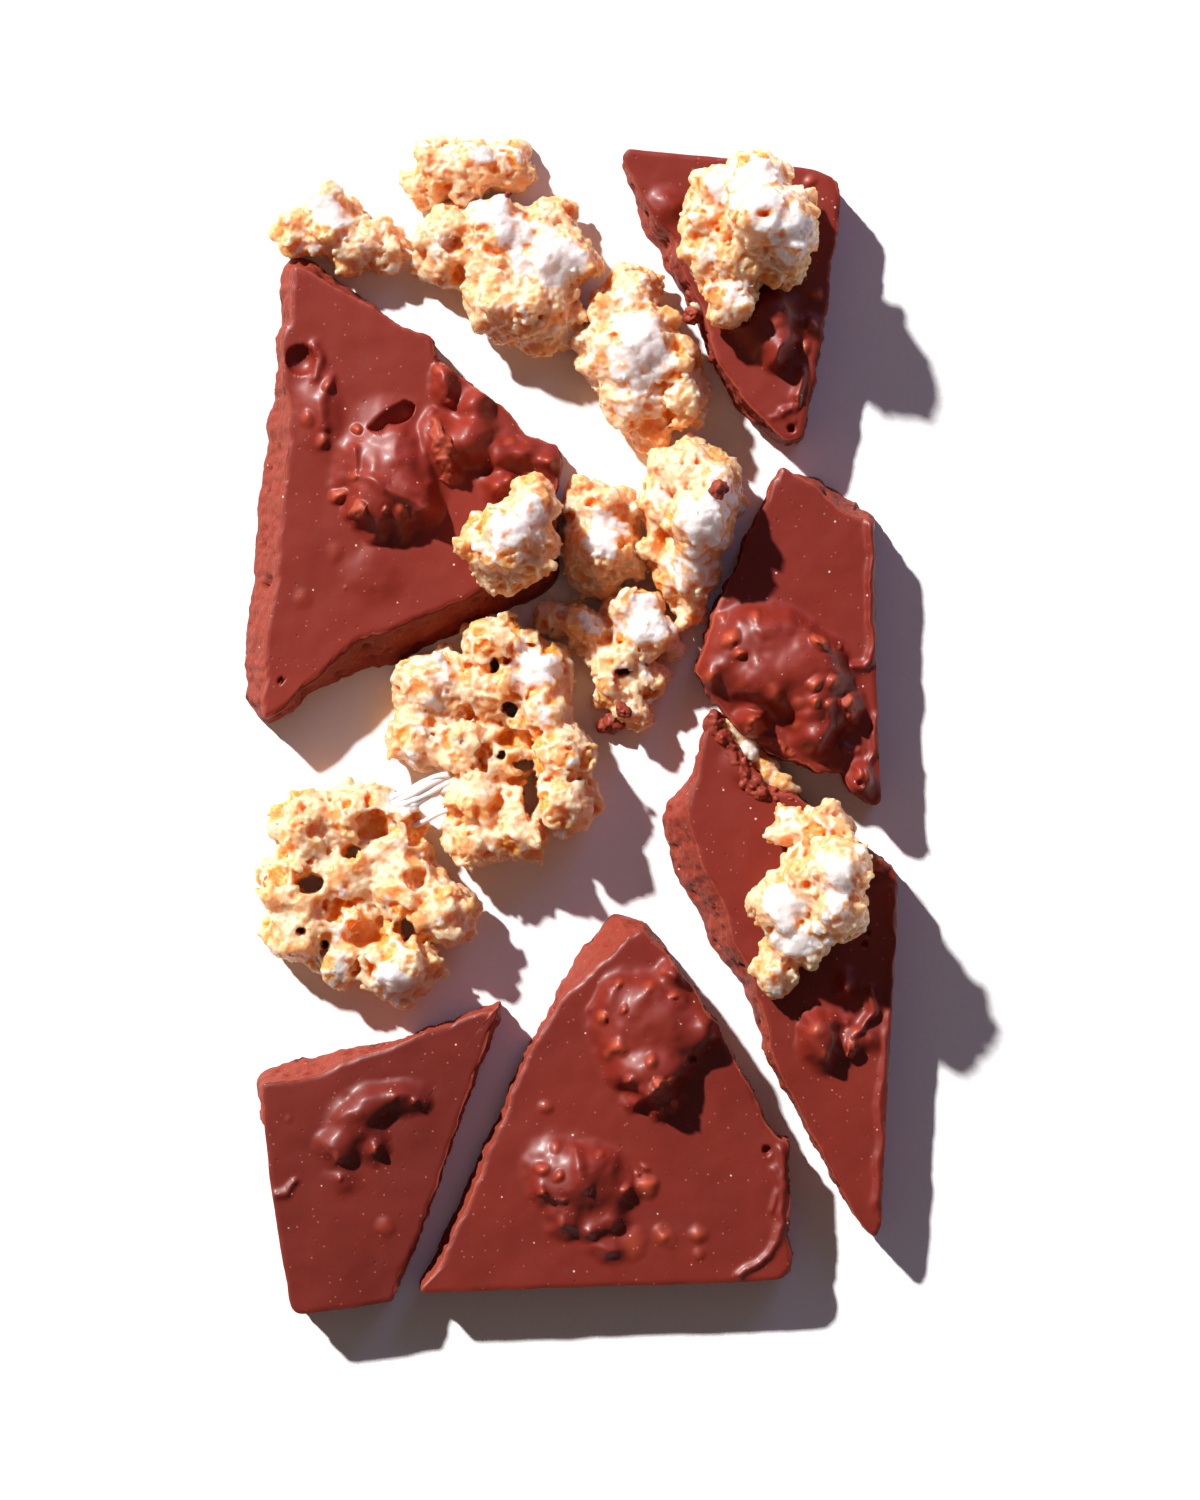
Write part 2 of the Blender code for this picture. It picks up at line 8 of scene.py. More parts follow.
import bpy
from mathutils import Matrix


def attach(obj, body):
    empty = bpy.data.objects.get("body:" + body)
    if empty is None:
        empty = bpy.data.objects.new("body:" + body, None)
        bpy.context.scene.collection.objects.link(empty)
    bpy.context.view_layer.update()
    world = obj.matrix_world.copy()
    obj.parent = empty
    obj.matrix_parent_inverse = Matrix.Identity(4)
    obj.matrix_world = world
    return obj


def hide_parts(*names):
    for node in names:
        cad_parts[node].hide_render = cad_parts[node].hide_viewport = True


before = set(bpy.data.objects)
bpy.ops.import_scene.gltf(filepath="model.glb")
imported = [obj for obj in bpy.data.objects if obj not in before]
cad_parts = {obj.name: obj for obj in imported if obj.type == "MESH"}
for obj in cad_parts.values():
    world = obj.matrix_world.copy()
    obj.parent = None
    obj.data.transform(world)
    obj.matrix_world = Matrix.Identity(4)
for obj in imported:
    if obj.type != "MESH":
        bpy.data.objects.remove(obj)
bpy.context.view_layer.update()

import math
import random

import bpy
import numpy as np

bl_info = {
    "name": "Crisped Rice Chocolate Bar",
    "version": (1, 0, 0),
    "blender": (4, 5, 0),
    "location": "View3D > Sidebar > Rice bar",
    "description": "Poured chocolate shards and puffed rice clusters of a broken bar",
    "category": "Add Mesh",
}

# One millimetre in metres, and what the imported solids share: millimetres, and shares of a lump's size
MM = 0.001
SLAB = 8.0
REST_GAP = 0.3
GRAIN_ROOM = 2.7
GRAIN_SEAT = 0.82
LOBE_SINK = 0.4
CENTRE = (0.47, 0.37)

# Half the floor's width in millimetres
FLOOR_REACH = 2000.0

# A shard's surface: ring that softens its crisps, shares underneath, rows up its wall, steps from its rim
SOFTENING = 0.9
UNDER_SHARES = (0.0, 0.3, 0.6, 0.85, 0.96)
WALL_ROWS = 26
RIM_STEPS = (0.08, 0.2, 0.4, 0.65, 0.95)

# A cluster's grains, pockets, foam and holes, where its marshmallow starts, and how deep a dip it fills
GRAIN_TRIES = 14
FILLER_TRIES = 2600
FILLER_GAP = 2.05
POCKET_SIZE = 3.4
OPEN_POCKET = 1.0
POCKET = 0.5
FOAM_SIZE = 1.5
FOAM = 0.3
HOLE_MIDDLE = 5.0
HOLE_REACH = 12.0
CREAM_FOOT = 2.2
DIP = 1.2

# The area from which a cluster's grid is coarser, how much coarser, and the grid of an edge heap
LARGE_AREA = 700.0
LARGE_STEP = 1.12
HEAP_STEP = 0.2

# Cell sizes of the materials' patterns, in millimetres. They were matched to the photo as scales and
# turned into millimetres afterwards. The paper's tooth is drawn coarser than real paper's, so that it shows
WAVE = 50 / 3
CRUMB = 10 / 9
DUST = 10 / 3
DOTS = 25 / 16
PRICKS = 50 / 21
GRIT = 5 / 4
BLISTER = 2 / 3
PULL = 2.0
TOOTH = 5 / 6

# Balls on a cluster's skin, as (distance from, to, share of points, radius from, to, blend, margin)
OPEN_BUBBLES = (-0.5, -0.1, 0.0002, 0.5, 1.0, 0.3, 0.7)
BLISTERS = (-0.2, 0.1, 0.016, 0.2, 0.45, 0.15, 0.5)
BURST_BLISTERS = (-0.15, 0.15, 0.012, 0.2, 0.42, 0.1, 0.4)

# The way the sun's light goes, and the places of the cool panel and the camera, in metres
KEY_WAY = (0.539, -0.618, -0.572)
SHEEN_PLACE = (0.32, 0.52, 0.42)
CAMERA_PLACE = (4.16 * MM, -3.83 * MM, 0.6207)

# Where the random numbers of each kind of detail start
LUMP_SALT = 7
RAGGED_SALT = 9
CREAM_SALT = 13
SKIN_SALT = 15
PATCHY_SALT = 21
WAVER_SALT = 31
WARP_SALT = 41
POCKET_SALT = 44
FOAM_SALT = 55
TORN_SALT = 61
FACET_SALT = 71
CRUMB_SALT = 81
CRISP_SALT = 83
THREAD_SALT = 90
EDGE_CRUMB_SALT = 121
EDGE_CRISPS_SALT = 131

# Points of each shard's top edge, clockwise from its upper left, as (x, y, foot of the broken wall)
SHARD_EDGES = {
    "shard_left": [
        (-40.5, 68, 2.4), (-33, 64, 1.2), (-25, 59.5, 0), (-20, 57, 0), (-20, 55, 0), (-18, 53, 0),
        (-13, 49.5, 0), (-8.5, 46, 0), (-6.5, 43, 0), (-1.5, 41.5, 0), (-1, 38.5, 0), (-2, 33, 0),
        (-2, 27.5, 0.3), (-3.5, 22.5, 2), (-12, 20.5, 4.4), (-21, 16, 3.8), (-27, 14, 4.7),
        (-31, 12.5, 4.3), (-37.5, 6.5, 1), (-42.5, 2.5, 0.6), (-45, 1, 0.8), (-45, 4, 3.2),
        (-44.5, 12.5, 3.5), (-43, 22.5, 3.9), (-42, 33.5, 4), (-41, 47.5, 3.6), (-42, 51, 1.6),
        (-42, 57, 1.3), (-41, 60, 2)],
    "shard_upper": [
        (8.5, 85, 0), (24, 83.5, 0), (36, 82, 0), (39.5, 80.5, 0), (39.5, 73, 0), (37, 55.5, 0),
        (34.5, 42, 0), (32, 41.5, 0), (26, 48, 1.2), (21.5, 54, 0.2), (19.5, 62, 1.3), (17, 66, 1.2),
        (15.5, 71, 2), (13, 74.5, 1.9), (10.5, 78.5, 0.3), (8, 83.5, 0)],
    "shard_right": [
        (31.5, 38.5, 0), (36, 35.5, 1.8), (41.5, 30.5, 2.8), (44.8, 30.5, 0.8), (45.3, 18.5, 0),
        (45.2, 10, 0), (45.8, -7, 0), (46, -11, 0), (45.2, -12, 0), (41, -9, 0), (40.4, -7, 0),
        (36.7, -7, 0), (34, -5, 0.3), (29.6, -4.2, 0.3), (26, -1.5, 0.3), (20, 5.5, 0), (18.8, 8, 0),
        (20.8, 15.5, 0.5), (24.5, 22.7, 0), (27.4, 30.4, 0.3), (30, 35, 0.3)],
    "shard_lower": [
        (21.7, 1.3, 0), (23, -2.5, 1.6), (26, -7, 2.3), (29.6, -9.3, 2), (34, -10.5, 0.4),
        (41.7, -16.5, 0), (48, -21, 0.4), (48.5, -23.5, 0), (48.3, -30, 0), (47, -52, 0),
        (46, -73.5, 0), (45, -75, 0), (42.5, -72.5, 0.3), (35, -58.5, 0.4), (30.5, -50, 0.7),
        (27.5, -38, 1.5), (25, -33, 3), (22.3, -25.5, 3.8), (19, -19.5, 4), (17.5, -13, 3.6),
        (18.5, -8.5, 0.9), (20, -1, 0)],
    "shard_base": [
        (10.7, -30, 0.9), (13.8, -33, 0), (17.6, -37.5, 0), (21.7, -44, 0), (29, -58, 0),
        (31.5, -61, 0), (32.3, -61, 0), (32.6, -79.5, 0), (31.5, -81.3, 0), (26, -81.8, 0),
        (4.5, -82.4, 0), (-21, -83.3, 0.4), (-22, -83, 0.5), (-19, -79, 1.1), (-14, -68, 1.1),
        (-10, -58.5, 0.6), (-5.7, -47.5, 0.3), (-2, -41, 0.5), (3.2, -36, 2.9), (9, -31, 4)],
    "shard_corner": [
        (-45.2, -52.5, 1.4), (-39.5, -52, 2.8), (-33, -49.5, 1.4), (-25, -46.5, 0), (-14, -42.5, 0.1),
        (-11, -42, 0.5), (-10.2, -40.7, 0.2), (-10.8, -43, 0.7), (-13, -49, 0.4), (-19, -67, 0.1),
        (-25, -82, 0), (-26, -84.7, 0), (-39.5, -86.5, 0), (-40.7, -86, 0), (-42, -79, 0),
        (-44, -66.5, 0)],
}

# The place inside each shard that sees its whole edge
SHARD_HEARTS = {
    "shard_left": (-25, 38), "shard_upper": (27, 67), "shard_right": (37, 12),
    "shard_lower": (31, -29), "shard_base": (8, -62), "shard_corner": (-29, -65)}

# Crisps under the chocolate, as (x, y, radius across, radius along, turn in degrees, rise)
SHARD_LOBES = {
    "shard_left": [
        (-26, 44.4, 4.2, 3.4, 0, 0.9), (-26, 41, 5.2, 4.2, 0, 2.6), (-25.8, 37.6, 6, 4.2, 0, 4),
        (-25.2, 34.4, 6.6, 3.4, 0, 5.2), (-28.6, 34, 3.6, 4.2, 0, 4.6), (-30.4, 31.8, 1.9, 2, 0, 4.6),
        (-24.8, 28.9, 1.1, 1.9, 0, 3.2), (-28.2, 28.4, 1.3, 1.3, 0, 2.4), (-21.2, 32.2, 2.2, 2.1, 0, 4.8),
        (-14.4, 42.4, 3.8, 3.6, 0, 4.7), (-18.4, 41, 2.6, 5, 15, 3.8), (-18.2, 50.4, 1.7, 3, 0, 3),
        (-14, 46.8, 2.6, 2.4, 0, 3.2), (-10, 40.2, 2.4, 3, 0, 2.8), (-9.8, 35.4, 2.7, 2.2, 0, 3.3),
        (-6.8, 40, 2.2, 2.2, 0, 2.2), (-3.4, 38.8, 1.9, 1.6, 0, 2), (-12.4, 48.6, 1.8, 1.8, 0, 2.4),
        (-28.8, 22.2, 2.6, 2.4, 0, 0.35), (-36.6, 46, 2.6, 5, 12, 1), (-30.8, 38, 3.4, 5, 8, 2.2),
        (-26, 31, 5.4, 2.8, 0, 3.8)],
    "shard_upper": [
        (14.2, 76.3, 2.2, 2.4, 0, 1.4), (29.2, 59.4, 4.8, 5.2, 0, 3.4), (30.8, 55.4, 2, 3.2, -20, 4.6),
        (35.9, 58.9, 1.5, 1.1, 0, 1.3)],
    "shard_right": [
        (29, 9.8, 9.4, 7.8, -8, 4.8), (21.6, 8, 2.8, 3, 0, 3.4), (29.6, 6.8, 5.6, 4.6, 0, 5.8),
        (35.2, 8.6, 6.4, 5.6, -20, 5.2), (36.2, 3.6, 4.4, 5, 0, 5.4), (41, 3, 1.9, 2.6, 0, 3.8),
        (36.4, -1.3, 3.1, 3.1, 0, 5.4), (38.8, 0.6, 1, 2.8, -12, 5), (27, 0.6, 2.4, 1.9, 0, 4.4),
        (43.1, -8.2, 2.2, 2.5, 0, 2.4)],
    "shard_lower": [
        (37, -46.2, 2.9, 4.2, 0, 4), (40.8, -38, 1.6, 1.7, 0, 2.5), (41.4, -46.6, 1.8, 2.2, 0, 2.6),
        (44.2, -46.2, 1.3, 1.4, 0, 1.6), (25.5, -5.5, 2, 2, 0, 0.6), (44.6, -20.2, 2.4, 1.7, 0, 0.9)],
    "shard_base": [
        (12.4, -44.6, 8.6, 8.4, 0, 4.4), (12, -50.4, 6, 3.6, 0, 5.8), (6.8, -39.6, 2.2, 4, -22, 3.2),
        (11.8, -39.6, 2.2, 3.2, -42, 4.4), (15.3, -36.2, 2.4, 1.9, 0, 3.6), (19.2, -44.6, 3, 3.2, 0, 4.7),
        (12.6, -53.4, 3.4, 2, 0, 6), (9.6, -55.2, 1.2, 1.3, 0, 3), (13.2, -56.2, 1.2, 1.5, 25, 3),
        (15.5, -55.3, 1.3, 1.4, 0, 4.2), (-0.4, -66, 5.6, 5.6, 0, 2.6), (3.2, -67, 5.4, 5.8, 0, 3.2),
        (-3.2, -68.2, 2.6, 2, -20, 3), (7.4, -68.8, 2.8, 2.4, 30, 2.2),
        (-0.2, -72.4, 2.9, 2.6, 0, 2.6), (3.6, -73.6, 2.2, 2, 0, 2.4), (6.4, -72.2, 2, 2.4, 0, 2.2),
        (5.4, -76.6, 2.6, 1.6, 0, 1.6)],
    "shard_corner": [
        (-33.8, -61.8, 2.9, 2.6, 0, 2.3), (-31.4, -58.6, 3.8, 3.4, -20, 2.2),
        (-29.6, -56, 3.8, 2.8, 25, 2.4), (-25.4, -54.8, 3.6, 2.2, 0, 2.3), (-22.3, -55, 1.7, 1.5, 0, 1.7),
        (-28.6, -62, 1.9, 1.9, 0, 1.8), (-33.4, -66.4, 1.8, 1.7, 0, 0.6)],
}

# Small crisps just under the skin, where the chocolate is thin, as (x, y, radius, rise on what is there)
SHARD_BUMPS = {
    "shard_left": [
        (-38.3, 44.9, 1.5, 0.6), (-36.1, 41.6, 1.5, 0.7), (-35.7, 50, 1.1, 0.5), (-33.6, 33.9, 1.6, 1.2),
        (-31, 43.7, 1.1, 0.8), (-27, 31.9, 0.8, 0.6), (-24.6, 31.6, 1.3, 0.6), (-17.7, 47.9, 0.9, 0.7),
        (-39.5, 18.9, 1.8, 0.25), (-34.4, 26, 2, 0.2), (-31.6, 36.6, 1.2, 0.6), (-33, 20.5, 0.5, 0.12),
        (-10.6, 34.6, 1.3, 0.6), (-8.6, 36, 1.1, 0.6), (-19.2, 52.2, 1.2, 0.7), (-41.5, 35.2, 0.5, 0.15),
        (-8.6, 42.2, 1, 0.5), (-3.1, 38.6, 1.2, 0.6)],
    "shard_upper": [
        (36.6, 63.4, 1.3, 0.7), (35, 55.8, 1.1, 0.6), (33, 57, 0.8, 0.4), (35.8, 59, 1, 0.5),
        (35.7, 80.6, 1, 0.4), (30.4, 58.8, 1.2, 0.3)],
    "shard_right": [
        (22.6, 16, 1, 0.6), (27.6, 15.8, 1.3, 0.7), (23.9, 12.7, 1.8, 1.1), (24.9, 10.2, 1.1, 1.1),
        (36.6, 12.3, 1.5, 1.7), (39.9, 11.9, 0.8, 0.5), (35.5, 6.5, 1.5, 0.9), (38.3, 6.2, 1.4, 0.9),
        (35.8, 3.7, 1.2, 0.8), (20.7, 7.1, 1.7, 0.8), (30, 4.7, 2, 0.5), (33.2, 3.6, 1.3, 0.5),
        (38.6, 2.8, 1.1, 0.8), (26.9, 0.8, 1.1, 0.6), (42.6, -7.4, 1, 0.6), (33.6, 0.4, 1, 0.5)],
    "shard_lower": [
        (36.2, -44.6, 1.4, 0.5), (37.8, -48.4, 1.3, 0.4), (40.8, -38, 1, 0.4), (42.2, -45, 1, 0.6)],
    "shard_base": [
        (7.8, -37.3, 1.1, 0.7), (5.4, -42.5, 1.1, 1.2), (8.4, -41.2, 0.8, 0.6), (7.5, -46.8, 1.8, 0.9),
        (6, -48, 1.4, 0.5), (12.2, -48.8, 1.3, 0.7), (12.2, -38.2, 1.4, 0.5), (15.4, -39, 1, 0.9),
        (13.2, -51.8, 1.2, 0.7), (14.8, -52, 0.9, 0.6), (13.6, -35.8, 0.9, 0.5), (8.6, -51.6, 1, 0.5),
        (-3.8, -64.7, 1.4, 0.6), (-1.2, -65.8, 1, 0.7), (-1.8, -61.7, 1.2, 0.4), (8.4, -68.2, 1, 0.5),
        (-1.3, -72.8, 1, 0.4), (10.3, -66, 0.6, 0.4), (11.4, -64.8, 0.9, 0.4), (3, -68.4, 0.5, 0.3),
        (-3.6, -68.3, 1.1, 0.6), (14.2, -75, 0.9, 0.3),
        (4.8, -62.6, 1, 0.4), (19, -74.5, 1.9, 0.6), (19, -77.7, 1.3, 0.3), (-3.3, -56, 1.5, 0.4),
        (9.4, -76, 2.8, 0.4), (14.2, -74.8, 2, 0.45), (11.4, -67.8, 2, 0.9)],
    "shard_corner": [
        (-28.6, -62.4, 1, 0.5), (-34, -63.2, 1.2, 0.4), (-22.6, -55.2, 0.8, 0.5), (-26, -54.4, 1, 0.3),
        (-26.8, -56.8, 0.6, 0.3), (-33.6, -66.3, 0.9, 0.3), (-41.6, -57.5, 0.8, 0.12),
        (-27, -73.7, 1.8, 0.35)],
}

# Torn places where a crisp or the crumb of the chocolate shows, as (x, y, radius across, radius along, turn)
SHARD_TORN = {
    "shard_left": [(-18.6, 41, 1.5, 4.4, 15), (-30.8, 31.6, 1.5, 1.5, 0), (-17.6, 37, 0.8, 1.4, 10)],
    "shard_upper": [],
    "shard_right": [(41.2, 3, 1.1, 1.9, 15), (27.4, 0, 1.6, 1.6, 0), (30.6, -2.6, 3, 1, -30)],
    "shard_lower": [(44.8, -19.2, 3.2, 1.8, -35), (41.6, -47.4, 0.9, 1.2, 0), (27, -6.6, 1.6, 0.8, -30)],
    "shard_base": [(13.2, -51.8, 1, 0.8, 0), (15.6, -55.2, 0.9, 1, 0), (13.4, -56.4, 0.7, 1, 0)],
    "shard_corner": [],
}

# Thin raised lines that the poured face keeps, as (width, height, points)
SHARD_RIDGES = {
    "shard_left": [
        (0.8, 0.5, [(-35.5, 51), (-36.4, 47.6), (-35.8, 43.6)]),
        (0.7, 0.6, [(-37.4, 56.2), (-36.6, 54), (-37.4, 51.4)]),
        (0.7, 0.6, [(-31.6, 40.4), (-31.2, 36.7), (-30, 36.4), (-25, 34), (-21.4, 31.8)]),
        (0.8, 0.7, [(-20.2, 46.4), (-21.2, 43.2), (-21.2, 39.5), (-20.2, 36)])],
    "shard_upper": [
        (0.7, 0.9, [(34.3, 52.4), (33.9, 50), (33.1, 48.5)]),
        (0.5, 0.5, [(33.6, 48.2), (33.4, 47), (31.4, 46.2)]),
        (0.4, 0.25, [(29.8, 45.3), (31.5, 46), (33.3, 44.8)])],
    "shard_right": [
        (1.0, 0.6, [(28.2, 14.2), (31, 15), (34.4, 14), (36.6, 12.8)]),
        (0.6, 0.8, [(44.4, 30), (44.7, 20), (44.4, 10), (43.6, 9), (42.2, 8.7)]),
        (0.5, 0.6, [(45.2, 2), (44.9, -3), (44, -6)]), (0.5, 0.3, [(38.6, -3.9), (41, -2.8), (43, -3.6)]),
        (0.5, 0.8, [(42, -6.6), (43.4, -6.2), (44.4, -7.6)])],
    "shard_lower": [
        (0.6, 0.5, [(47.8, -24), (47.6, -32), (46.4, -52), (45.5, -70)]),
        (0.8, 0.8, [(35.2, -42.9), (38, -43.4), (40.7, -43.5)]),
        (0.8, 1.3, [(44.5, -39), (44.6, -41.7), (43, -44.5)])],
    "shard_base": [
        (0.6, 0.6, [(25.4, -80.9), (28.2, -79), (30.8, -75.6), (31.8, -69.6), (31.4, -62)]),
        (0.5, 0.4, [(30.4, -65), (31, -68), (30.2, -71)]),
        (0.7, 0.5, [(8.8, -51.4), (9.6, -53), (11.2, -53.7), (13, -52.6)]),
        (0.8, 0.7, [(1.3, -61.8), (1.6, -65), (2.7, -67.6)]),
        (0.6, 0.6, [(-3.6, -67.9), (-2.2, -69.3), (-0.6, -69.8)]),
        (0.5, 0.35, [(3.6, -42), (4.6, -39.4), (7, -37)])],
    "shard_corner": [(0.5, 0.5, [(-43.2, -68.8), (-41.4, -68.3), (-40.2, -67)])],
}

# Bubbles that burst in the poured face, as (x, y, radius, depth)
SHARD_PITS = {
    "shard_left": [(-39.4, 53.9, 2.2, 1.7), (-42.3, 6.7, 0.5, 0.8), (-18.9, 54, 0.7, 1)],
    "shard_upper": [(32.8, 43.8, 0.6, 1.4)],
    "shard_right": [(42.8, -8.4, 0.5, 0.8)],
    "shard_lower": [(44, -30.4, 0.5, 0.8), (43.6, -32.1, 0.5, 0.8)],
    "shard_base": [(18.2, -48.8, 0.6, 1), (29.2, -62.3, 0.7, 1)],
    "shard_corner": [],
}

# Where a flake came off the chocolate and left a tilted face, as (x, y, radius, height, slope)
SHARD_FACETS = {"shard_left": [(-26.4, 46.3, 3, 0.3, 0.85)]}

# Lumps of puffed rice in each cluster, as (x, y, radius in x, radius in y, top)
CLUSTER_LOBES = {
    "cluster_corner": [
        (-40, 73.3, 2.5, 2.4, 5.5), (-35.2, 75, 3.6, 4.8, 7.5), (-31.6, 71.6, 4.4, 3.2, 6.5),
        (-27.6, 71, 2.6, 2.9, 5.5)],
    "cluster_north": [
        (-19, 83, 3.4, 3.5, 7), (-21.2, 80.4, 2.8, 1.9, 4.5), (-14.6, 82.5, 4, 3.9, 7.5),
        (-9.4, 82.8, 3.7, 3.5, 6.5)],
    "cluster_crown": [
        (-17.4, 72.8, 4.7, 4, 8), (-18.6, 69, 4, 3.2, 6.5), (-10.4, 73.2, 5.4, 4.8, 10.5),
        (-3.2, 73.4, 4.3, 4.2, 8.5), (-1.8, 68.6, 5.8, 4.4, 11), (-9.8, 67.4, 6, 4.6, 10),
        (-7.6, 62.6, 7.8, 5.6, 11.5), (-2.6, 61.6, 3.8, 4.2, 8), (-3.5, 58.5, 4.2, 2.2, 7)],
    "cluster_middle": [
        (6.3, 61.8, 2.6, 3.2, 8.5), (9.6, 63.4, 3.4, 4, 9), (10.4, 56, 6, 6.6, 12),
        (5.4, 55.4, 3, 5.2, 9), (15.4, 53, 3.8, 3.4, 10.5), (17.2, 48.6, 2.9, 3.5, 10.5),
        (9.4, 48.4, 4.2, 4, 9), (13.8, 48.6, 3, 3, 7), (12.4, 43.8, 3, 2.6, 5)],
    "cluster_tower": [
        (17.8, 37.2, 5.5, 4.6, 14), (21.6, 34.6, 3.6, 5.4, 16), (19.2, 30, 4.7, 5, 19),
        (14, 32.4, 2.7, 4.8, 10), (15.2, 27, 3.3, 3.5, 9.5), (18.6, 23.8, 3.1, 4.6, 11),
        (15.8, 22.2, 2.3, 3.2, 7), (18, 18.2, 1.8, 3.4, 6)],
    "cluster_neck": [
        (2, 32.6, 2.4, 2.7, 8), (5, 32.4, 2.9, 2.9, 9), (7.7, 32, 2, 2.8, 7),
        (2, 26.8, 2.3, 4.6, 8), (5.1, 26.6, 4.2, 4.5, 10), (7.8, 25.4, 2.2, 3.2, 7),
        (4.8, 22, 3.6, 2.2, 5)],
    "cluster_arch": [
        (-1.6, 16.2, 2.8, 1.6, 5), (2.6, 14.6, 2.8, 2.6, 6.5), (9.4, 17.2, 3.8, 2.6, 8.5),
        (11, 13.8, 3.8, 3.4, 9.5), (7.4, 10, 4.4, 3.4, 7.5), (14.9, 12.3, 1.9, 1.5, 4),
        (6.7, 6, 2.8, 2.9, 7), (11.3, 6.6, 2.4, 2, 6), (9.6, 2.8, 2, 3, 6.5)],
    "cluster_shelf": [
        (-12, 26.6, 3.4, 4.2, 8), (-5.6, 31.4, 2.7, 4.5, 10), (-5, 25.8, 2.6, 4.5, 8),
        (-8.4, 27, 4.3, 4.8, 11), (-8.8, 22.8, 4.2, 2.6, 5)],
    "cluster_lace": [
        (-10.6, 12.2, 5.4, 3.8, 9), (-4, 8.8, 3.8, 4, 9.5), (-20, 6.2, 6.2, 5, 8.5),
        (-11.5, 5.4, 6, 5, 9), (-3.8, 2.6, 4, 4.6, 10.5), (-22.2, -0.8, 4.8, 4.2, 7.5),
        (-15.6, -3, 5, 4.6, 8.5), (-9.6, -4, 4.2, 4.4, 8.5), (-0.8, -4.2, 4.6, 5, 12.5),
        (-0.8, -11, 4.7, 4.2, 13), (-13.6, -11, 4.8, 4.6, 10), (-7.2, -12.4, 3.8, 3.6, 10),
        (-13.6, -17, 4.4, 3.2, 10.5), (-7.6, -16.6, 3.8, 2.8, 11.5)],
    "cluster_disc": [
        (-38.6, -14.8, 4.9, 5.2, 9), (-31, -13, 5.8, 4.6, 9), (-24.8, -15.8, 4.4, 4.4, 8.5),
        (-40.4, -23.6, 5.2, 5.6, 9.5), (-32.4, -21.4, 6, 5.8, 8), (-23.8, -23.8, 5.4, 5.2, 9.5),
        (-40, -30.4, 5.2, 4.4, 9.5), (-32.2, -30.4, 5.2, 5, 8), (-18.4, -27.4, 4.2, 4.6, 11),
        (-25.4, -35.2, 5.8, 5.2, 11.5), (-33.6, -35, 3.8, 2.6, 8)],
    "cluster_perch": [
        (20.4, 72.8, 3.9, 4.4, 8), (21.6, 78, 3.4, 3.5, 8), (27.4, 79.4, 4.3, 4.2, 12),
        (28, 74, 5.2, 5.4, 16.5), (32.4, 72.4, 3.3, 5.2, 15.5), (31, 67.8, 3.6, 3.2, 9),
        (24.4, 67.8, 4.2, 4.2, 8), (20.8, 68, 3, 3.2, 7), (24, 62.2, 3, 3.8, 7)],
    "cluster_ledge": [
        (32.8, -15, 2.9, 2, 6), (37.4, -15.2, 3.6, 3.2, 9), (39.4, -20.6, 4.4, 4.4, 16.5),
        (39.2, -26.2, 4, 4.4, 14.5), (34.6, -22.8, 3.6, 4, 11), (31.2, -26, 3.8, 4.2, 9),
        (34, -30.8, 4.4, 3.5, 8), (30.4, -35.6, 2.5, 2.8, 4.5)],
}
LIES_ON = {"cluster_shelf": "shard_left", "cluster_perch": "shard_upper", "cluster_ledge": "shard_lower"}
GRAIN_COUNTS = {
    "cluster_corner": 14, "cluster_north": 14, "cluster_crown": 32, "cluster_middle": 28,
    "cluster_tower": 30, "cluster_neck": 17, "cluster_arch": 20, "cluster_shelf": 16,
    "cluster_lace": 42, "cluster_disc": 38, "cluster_perch": 30, "cluster_ledge": 26}

# Marshmallow that lies on a cluster, as (x, y, radius in x, radius in y)
MARSHMALLOW = {
    "cluster_corner": [(-35, 76, 2.6, 2.6)],
    "cluster_north": [(-13.5, 84, 2.2, 1.6)],
    "cluster_crown": [(-11.6, 76.4, 3.6, 2.8), (-8.6, 72.6, 2.8, 3), (-2.6, 68.8, 5.6, 3.2)],
    "cluster_middle": [(10.2, 54.8, 4.6, 5.6)],
    "cluster_tower": [(20.4, 29.6, 5, 3.6), (22.8, 33, 2.8, 3), (18.4, 24.6, 2.8, 3.8)],
    "cluster_neck": [(5, 28, 2.6, 3.8)],
    "cluster_arch": [(11.6, 15.6, 3.6, 3.4), (3, 15, 1.8, 1.6)],
    "cluster_shelf": [(-8.4, 28, 2.6, 3.6), (-5.6, 31.5, 1.8, 2.6)],
    "cluster_lace": [(-5.6, 8.6, 3.8, 3.6), (-19.2, 2.4, 2.4, 1.8), (-23.6, -4.4, 1.8, 1.8)],
    "cluster_disc": [(-25.4, -37.6, 3.6, 2.6), (-23.6, -11.6, 2.4, 1.8)],
    "cluster_perch": [(25.6, 78.6, 5, 3.4), (31.8, 71, 3.4, 4), (29.4, 77, 2.6, 3.6)],
    "cluster_ledge": [(31.2, -26, 2.6, 3), (33.6, -31, 4, 2.6), (38.2, -22, 2.2, 4)],
}

# Holes through a cluster, as (x, y, radius in x, radius in y)
HOLES = {
    "cluster_arch": [(8.2, 7.9, 1.2, 0.8)],
    "cluster_lace": [
        (-8.6, 2.4, 1.3, 1.3), (-6.7, -5.7, 1.8, 0.9), (-5.7, -10.8, 1.1, 2.9), (-11.1, 9, 0.7, 1.4),
        (-10.1, -4.2, 1, 0.8)],
    "cluster_disc": [
        (-32.1, -18.6, 1.3, 1.3), (-38, -23.3, 2.1, 1.4), (-24, -30, 0.9, 2), (-19.6, -16, 1.6, 2),
        (-39.5, -30.2, 0.8, 0.8), (-36.2, -32.1, 0.7, 0.7)],
}
